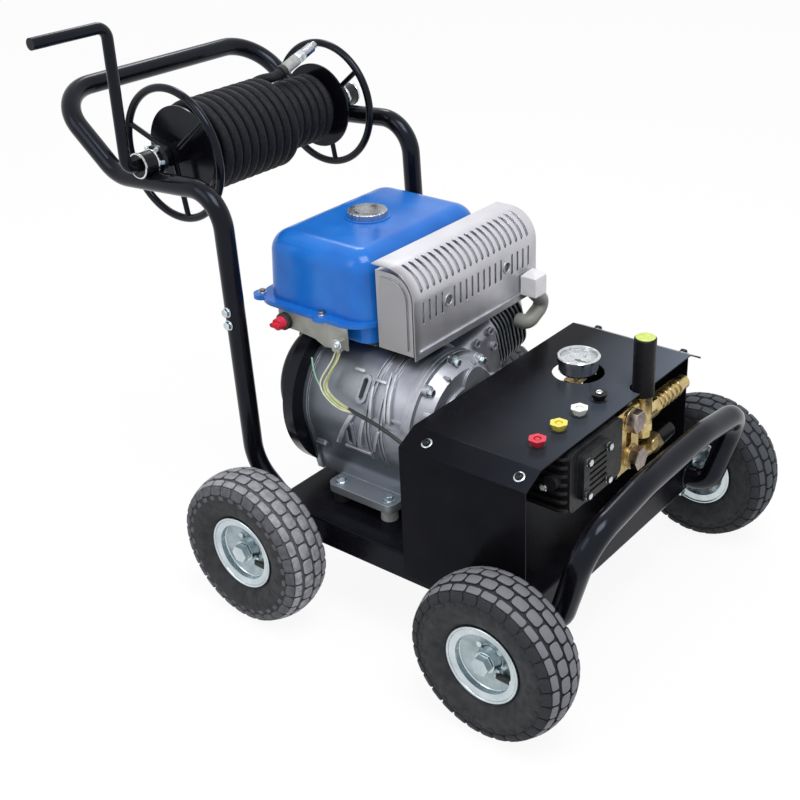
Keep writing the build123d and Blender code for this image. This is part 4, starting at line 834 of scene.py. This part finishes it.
def hexHead(finish, radius, height, washer=0.0):
    seat = hexForm["washerThick"] if washer else 0.0
    deselect()
    bpy.ops.mesh.primitive_cylinder_add(vertices=6, radius=radius * mm, depth=height * mm)
    head = coated(named("hexHead"), finish)
    head.data.transform(Matrix.Translation((0, 0, (height / 2 + seat) * mm)))
    pickFaces(head, lambda face: face.normal.z > looksUp)
    bpy.ops.mesh.inset(thickness=radius * hexForm["inset"] * mm)
    bpy.ops.transform.translate(value=(0, 0, radius * hexForm["dome"] * mm))
    bpy.ops.object.mode_set(mode="OBJECT")
    return onWasher(head, washer, hexForm, "hexBolt") if washer else head


def buttonHead(finish, radius, height, washer):
    seat = buttonForm["washerThick"]
    profile = [(radius * r, seat + height * h) for r, h in buttonForm["profile"]]
    head = coated(turned("buttonHead", profile, buttonForm["steps"]), finish)
    pickFaces(head, lambda face: face.normal.z > looksUp)
    bpy.ops.mesh.inset(thickness=radius * buttonForm["rim"] * mm)
    drawOut(0, 0, -height * buttonForm["socket"] * mm)
    bpy.ops.object.mode_set(mode="OBJECT")
    return onWasher(head, washer, buttonForm, "buttonScrew")


# frame: screws on the cover's sloping strips, bolts through the handle's legs and on the engine's feet
bolts = {
    "coverX": (300.0, 463.0), "coverY": 237.6, "coverZ": 377.85, "coverSlope": (19.3, 38.6),
    "handle": ((-88.0, 492.0), (-87.0, 470.0)), "handleY": 246.0,
    "feetX": (77.0, 177.0), "feetY": (-187.5, 17.5), "feetZ": 210.0, "feetTurn": 0.3,
    "coverHead": (6.4, 4.6, 8.6), "handleHead": (7.2, 5.0, 8.4), "feetHead": (8.0, 6.5, 11.0),
}


def frameBolts():
    slope, rise = bolts["coverSlope"]
    covers = [facing((0, side * slope, rise), spot(x, side * bolts["coverY"], bolts["coverZ"]))
              for side in (-1, 1) for x in bolts["coverX"]]
    handles = [facing((0, side, 0), spot(x, side * bolts["handleY"], z))
               for side in (-1, 1) for x, z in bolts["handle"]]
    feet = [facing((0, 0, 1), spot(x, y, bolts["feetZ"]), bolts["feetTurn"])
            for x in bolts["feetX"] for y in bolts["feetY"]]
    parts = [
        copied(buttonHead(blackOxide, *bolts["coverHead"]), covers, "coverScrews"),
        copied(hexHead(finishes["zinc"], *bolts["handleHead"]), handles, "handleBolts"),
        copied(hexHead(finishes["zinc"], *bolts["feetHead"]), feet, "footBolts"),
    ]
    fitted(joined(parts, "frame_fixings"), "chassis", "zinc", "frame_bolts")


crankY, crankZ = -85.0, 328.0   # the crankshaft
boreX, boreLean = 120.0, radians(14)   # the cylinder, which leans up from level


def onBore(reach, u, v):
    # reach runs out along the cylinder from the crank, u along the crank and v across both
    return spot(boreX + u, crankY + reach * cos(boreLean) + v * sin(boreLean),
                crankZ + reach * sin(boreLean) - v * cos(boreLean))


# engine: bolts round the side cover and the starter cover, on the rocker cover and on the switch plate
engineBolts = {
    "coverX": 239.0, "coverR": 103.0, "coverCount": 9, "coverFrom": 10, "coverTurn": 0.2,
    "starterX": -22.5, "starterR": 98.5, "starterCount": 6, "starterFrom": 20,
    "rocker": (48.0, 37.0), "rockerReach": 269.0, "rockerTurn": 0.4, "plate": (80.6, -179.0, 455.0),
    "coverHead": (6.4, 6.0, 8.0), "rockerHead": (6.0, 6.0, 7.4), "starterHead": (5.0, 4.0, 6.4),
    "plateHead": (6.5, 4.0, 8.5),
}


def roundCrank(kind):
    radius = engineBolts[kind + "R"]
    circle = ring(engineBolts[kind + "Count"], engineBolts[kind + "From"])
    return [spot(engineBolts[kind + "X"], crankY + radius * c, crankZ + radius * s) for c, s in circle]


def engineFixings():
    cover = [facing((1, 0, 0), place, engineBolts["coverTurn"] * i)
             for i, place in enumerate(roundCrank("cover"))]
    starter = [facing((-1, 0, 0), place) for place in roundCrank("starter")]
    u, v = engineBolts["rocker"]
    bore = (0, cos(boreLean), sin(boreLean))
    rocker = [facing(bore, onBore(engineBolts["rockerReach"], i * u, k * v), engineBolts["rockerTurn"])
              for i in (-1, 1) for k in (-1, 1)]
    plate = [facing((0, -1, 0), spot(*engineBolts["plate"]))]
    zinc = finishes["zinc"]
    parts = [
        copied(hexHead(zinc, *engineBolts["coverHead"]), cover, "coverBolts"),
        copied(hexHead(zinc, *engineBolts["rockerHead"]), rocker, "rockerBolts"),
        copied(hexHead(zinc, *engineBolts["starterHead"]), starter, "starterBolts"),
        copied(buttonHead(zinc, *engineBolts["plateHead"]), plate, "plateScrew"),
    ]
    fitted(joined(parts, "engine_fixings"), "chassis", "zinc")


# tank bolts on the flange's lugs
tankBolts = {"places": ((-110, -146), (31, -158), (-60, 171), (61, 171)), "z": 485.0, "turn": 0.5,
             "head": (5.2, 4.4, 7.0)}


def tankFixings():
    seats = [facing((0, 0, 1), spot(x, y, tankBolts["z"]), tankBolts["turn"]) for x, y in tankBolts["places"]]
    heads = copied(hexHead(dullBrass, *tankBolts["head"]), seats, "tank_fixings")
    fitted(heads, "chassis", "brass")


# stop switch: a black base under the red knob
switchBase = {"place": (-41.0, -165.0, 460.0),
              "profile": [(14.2, 0.4), (14.2, 9.0), (13.4, 10.0), (11.6, 10.2)]}


def switchSeat():
    base = coated(turned("switch_base", switchBase["profile"], steps=40), finishes["rubber"])
    base.data.transform(facing((0, -1, 0), spot(*switchBase["place"])))
    fitted(base, "chassis", "rubber")


frameBolts()
engineFixings()
tankFixings()
switchSeat()
print("fixings made")

# casting: ribs swept round the barrel
ribs = {
    "barrelR": 112.0, "depth": 7.0, "height": 2.8, "steps": 10, "edge": 1.3,
    # each from a place along the crank and an angle round it to another such place, and its width
    "runs": [
        (145.0, 39.0, 154.0, 13.0, 6.0), (166.0, 54.0, 183.0, 13.0, 5.0), (174.0, 54.0, 191.0, 13.0, 7.0),
        (117.0, 11.0, 78.0, -22.5, 9.0), (141.0, 10.0, 126.5, -18.0, 7.0), (172.0, 5.0, 157.0, -17.0, 6.0),
        (121.0, -21.0, 121.0, -24.0, 54.0), (109.0, 46.6, 109.0, 49.0, 20.0),
        (156.0, 43.0, 156.0, 45.4, 22.0),
    ],
}


def castRib(startX, startA, endX, endA, width):
    rib = flatPlate("rib", width, ribs["depth"])
    reach = ribs["barrelR"] + ribs["height"] - ribs["depth"] / 2
    angle = radians(startA)
    foot = spot(startX, crankY - reach * cos(angle), crankZ + reach * sin(angle))
    rib.data.transform(Matrix.Translation(foot) @ Matrix.Rotation(-angle, 4, "X"))
    openMesh()
    for i in range(ribs["steps"]):
        drawOut((endX - startX) / ribs["steps"] * mm, 0, 0)
        bpy.ops.transform.rotate(value=radians(endA - startA) / ribs["steps"], orient_axis="X",
                                 center_override=spot(0, crankY, crankZ))
    closeMesh()
    applied(rib, "BEVEL", {"width": ribs["edge"] * mm, "segments": 2, "angle_limit": radians(50)})
    # the ribs take the lighter alloy, a painted highlight
    return coated(smoothed(rib, angle=40), highlitAlloy)


def castRibs():
    parts = [castRib(*run) for run in ribs["runs"]]
    fitted(joined(parts, "crankcase_ribs"), "chassis", "cast_alloy")


castRibs()
print("ribs cast")

# pump face: bright bolts on the end plate and a sight glass on the near side
pump = {
    "plateX": 503.0, "plateMid": (-92.0, 330.0), "boltStep": 28.0, "boltTurn": 0.3, "head": (5.8, 4.2, 6.8),
    "sight": (456.0, -166.0, 322.0),
    "bezel": [(4.8, -0.5), (6.6, -0.5), (6.6, 2.2), (5.9, 3.0), (4.8, 2.8)],
    "pane": [(5.0, 0.0), (5.0, 1.4), (4.0, 2.0), (2.0, 2.3)],
}


def pumpBolts():
    midY, midZ = pump["plateMid"]
    step = pump["boltStep"]
    places = [facing((1, 0, 0), spot(pump["plateX"], midY + i * step, midZ + k * step), pump["boltTurn"] * k)
              for i in (-1, 1) for k in (-1, 1)]
    heads = copied(hexHead(finishes["zinc"], *pump["head"]), places, "pump_bolts")
    fitted(heads, "chassis", "zinc")


def sightGlass():
    parts = [coated(turned("bezel", pump["bezel"], steps=40, holed=True), finishes["chrome"]),
             coated(turned("pane", pump["pane"], steps=32), finishes["dial_white"])]
    sight = joined(parts, "sight_glass")
    sight.data.transform(facing((0, -1, 0), spot(*pump["sight"])))
    fitted(sight, "chassis", "chrome")


# gauge: printed ticks, plain numbers and a rolled bezel
gauge = {
    "mid": (368.0, 66.0), "dialZ": 405.0, "sweep": 270.0,
    "tickR": 24.5, "tickCount": 21, "tickRise": 0.25, "tick": (0.5, 2.8),
    "longTick": (0.9, 4.6), "longEvery": 5,
    "numbers": ("0", "10", "20", "30", "40"), "numberR": 17.2, "numberSize": 6.2, "numberRise": 0.1,
    "numberLift": 0.15,
    "bezel": [(29.6, 412.5), (30.2, 415.6), (31.4, 417.4), (33.2, 417.6), (34.6, 416.0), (34.8, 411.5)],
}


def dialTurn(i, count):
    # the angle of one of several marks that are spread over the sweep
    return radians(gauge["sweep"] * (0.5 - i / (count - 1)))


def gaugeTick(i, mid):
    width, length = gauge["longTick"] if i % gauge["longEvery"] == 0 else gauge["tick"]
    tick = flatPlate("tick", width, length)
    openMesh()
    drawOut(0, 0, gauge["tickRise"] * mm)
    closeMesh()
    turn = Matrix.Rotation(dialTurn(i, gauge["tickCount"]), 4, "Z")
    out = Matrix.Translation((0, (gauge["tickR"] - length / 2) * mm, 0))
    tick.data.transform(Matrix.Translation(mid) @ turn @ out)
    return coated(tick, blackOxide)


def gaugeNumber(i, mid):
    deselect()
    bpy.ops.object.text_add()
    text = bpy.context.object.data
    text.body = gauge["numbers"][i]
    text.size = gauge["numberSize"] * mm
    text.extrude = gauge["numberRise"] * mm
    text.align_x = "CENTER"
    text.align_y = "CENTER"
    bpy.ops.object.convert(target="MESH")
    figure = named("number")
    turn = dialTurn(i, len(gauge["numbers"]))
    out = Vector((-sin(turn) * gauge["numberR"], cos(turn) * gauge["numberR"], gauge["numberLift"])) * mm
    figure.data.transform(Matrix.Translation(mid + out))
    return coated(figure, blackOxide)


def gaugeFace():
    mid = spot(*gauge["mid"], gauge["dialZ"])
    marks = [gaugeTick(i, mid) for i in range(gauge["tickCount"])]
    marks += [gaugeNumber(i, mid) for i in range(len(gauge["numbers"]))]
    fitted(joined(marks, "gauge_marks"), "chassis", "iron")
    bezel = coated(turned("gauge_bezel", gauge["bezel"], steps=64, holed=True), finishes["chrome"])
    bezel.data.transform(Matrix.Translation(spot(*gauge["mid"], 0)))
    fitted(bezel, "chassis", "chrome")


pumpBolts()
sightGlass()
gaugeFace()
print("pump face and gauge made")

# pressure knob: a leaf-green disc on its top
knob = {"top": (480.0, 75.0, 474.0),
        "disc": [(15.4, -0.4), (15.4, 0.5), (14.6, 1.1), (12.8, 1.1), (12.4, 0.6)]}


def knobDisc():
    disc = coated(turned("knob_disc", knob["disc"], steps=40), limePlastic)
    disc.data.transform(Matrix.Translation(spot(*knob["top"])))
    fitted(disc, "unloader_knob", "yellow_plastic")


# dark nozzle: a bright tip
nozzle = {"top": (445.0, 2.0, 399.0),
          "tip": [(5.6, 0.0), (5.6, 3.0), (4.6, 4.0), (3.2, 4.0), (3.0, 5.4), (2.0, 5.8)]}


def nozzleTip():
    tip = coated(turned("nozzle_tip", nozzle["tip"], steps=24), finishes["chrome"])
    tip.data.transform(Matrix.Translation(spot(*nozzle["top"])))
    fitted(tip, "nozzle_black", "chrome")


# reel: two bright collars on each bearing block, and a ring of bolts inboard of them
collar = {
    "places": (250.4, 224.0), "width": 4.4,
    "profile": [(18.6, 0.0), (20.2, 0.0), (20.8, 0.8), (20.8, 3.4), (20.2, 4.4), (18.6, 4.4)],
    "boltCount": 6, "boltFrom": 3, "boltR": 21.8, "boltY": 220.0, "boltHead": (4.2, 4.4),
}


def reelCollars():
    inset = Matrix.Translation((0, 0, -collar["width"] * mm))
    rings = [facing((0, -side, 0), spot(reelX, side * y, reelZ)) @ inset
             for side in (-1, 1) for y in collar["places"]]
    band = coated(turned("collar", collar["profile"], steps=48, holed=True), finishes["chrome"])
    radius = collar["boltR"]
    places = [facing((0, side, 0), spot(reelX + radius * c, side * collar["boltY"], reelZ + radius * s))
              for side in (-1, 1) for c, s in ring(collar["boltCount"], collar["boltFrom"])]
    parts = [copied(band, rings, "collars"),
             copied(hexHead(finishes["zinc"], *collar["boltHead"]), places, "collarBolts")]
    fitted(joined(parts, "reel_collars"), "chassis", "chrome")


# silencer guard: a rolled bead along its lower edge and a rolled rim round each of its two holes
guard = {
    "beadFrom": (206.0, -130.0, 456.0), "beadLength": 307.0, "beadEnd": [(0.8, 0.0), (2.2, 1.4), (2.6, 4.0)],
    "eyeX": 205.2, "eyeY": (-54.5, 101.5), "eyeZ": 516.0, "eyeR": 9.0, "eyeThick": 1.5, "eyeEdge": 0.2,
}


def guardTrim():
    length = guard["beadLength"]
    profile = guard["beadEnd"] + [(r, length - z) for r, z in reversed(guard["beadEnd"])]
    # the bead and the eyes take the lighter alloy, a painted highlight
    bead = coated(turned("bead", profile, steps=14), highlitAlloy)
    bead.data.transform(facing((0, 1, 0), spot(*guard["beadFrom"])))
    deselect()
    bpy.ops.mesh.primitive_torus_add(major_segments=40, minor_segments=10, major_radius=guard["eyeR"] * mm,
                                     minor_radius=guard["eyeThick"] * mm)
    eye = coated(smoothed(named("eye")), highlitAlloy)
    applied(eye, "BEVEL", {"width": guard["eyeEdge"] * mm, "segments": 1})
    places = [facing((1, 0, 0), spot(guard["eyeX"], y, guard["eyeZ"])) for y in guard["eyeY"]]
    parts = [bead, copied(eye, places, "eyes")]
    fitted(joined(parts, "guard_trim"), "chassis", "silencer_steel")


# weld beads where the bumper and the handle's legs meet the tray: a place, the tube's axis and a radius
weld = {
    "rings": [((489.0, 232.0, 154.0), (1.0, 0.0, 0.0), 19.6),
              ((-18.0, 230.0, 166.6), (-74.0, 0.0, 61.5), 16.8)],
    "bead": 2.6, "ripple": 5.0, "rough": 1.6,
}


def weldBeads():
    grain = bpy.data.textures.new("weldRipple", "CLOUDS")
    grain.noise_scale = weld["ripple"] * mm
    parts = []
    for (x, y, z), axis, radius in weld["rings"]:
        for side in (-1, 1):
            deselect()
            bpy.ops.mesh.primitive_torus_add(major_segments=64, minor_segments=8, major_radius=radius * mm,
                                             minor_radius=weld["bead"] * mm)
            bead = named("weld")
            applied(bead, "DISPLACE", {"texture": grain, "strength": weld["rough"] * mm, "mid_level": 0.5})
            bead.data.transform(facing(axis, spot(x, side * y, z)))
            parts.append(coated(smoothed(bead, angle=60), finishes["black_paint"]))
    fitted(joined(parts, "weld_beads"), "chassis", "black_paint")


knobDisc()
nozzleTip()
reelCollars()
guardTrim()
weldBeads()
print("trim and welds made")
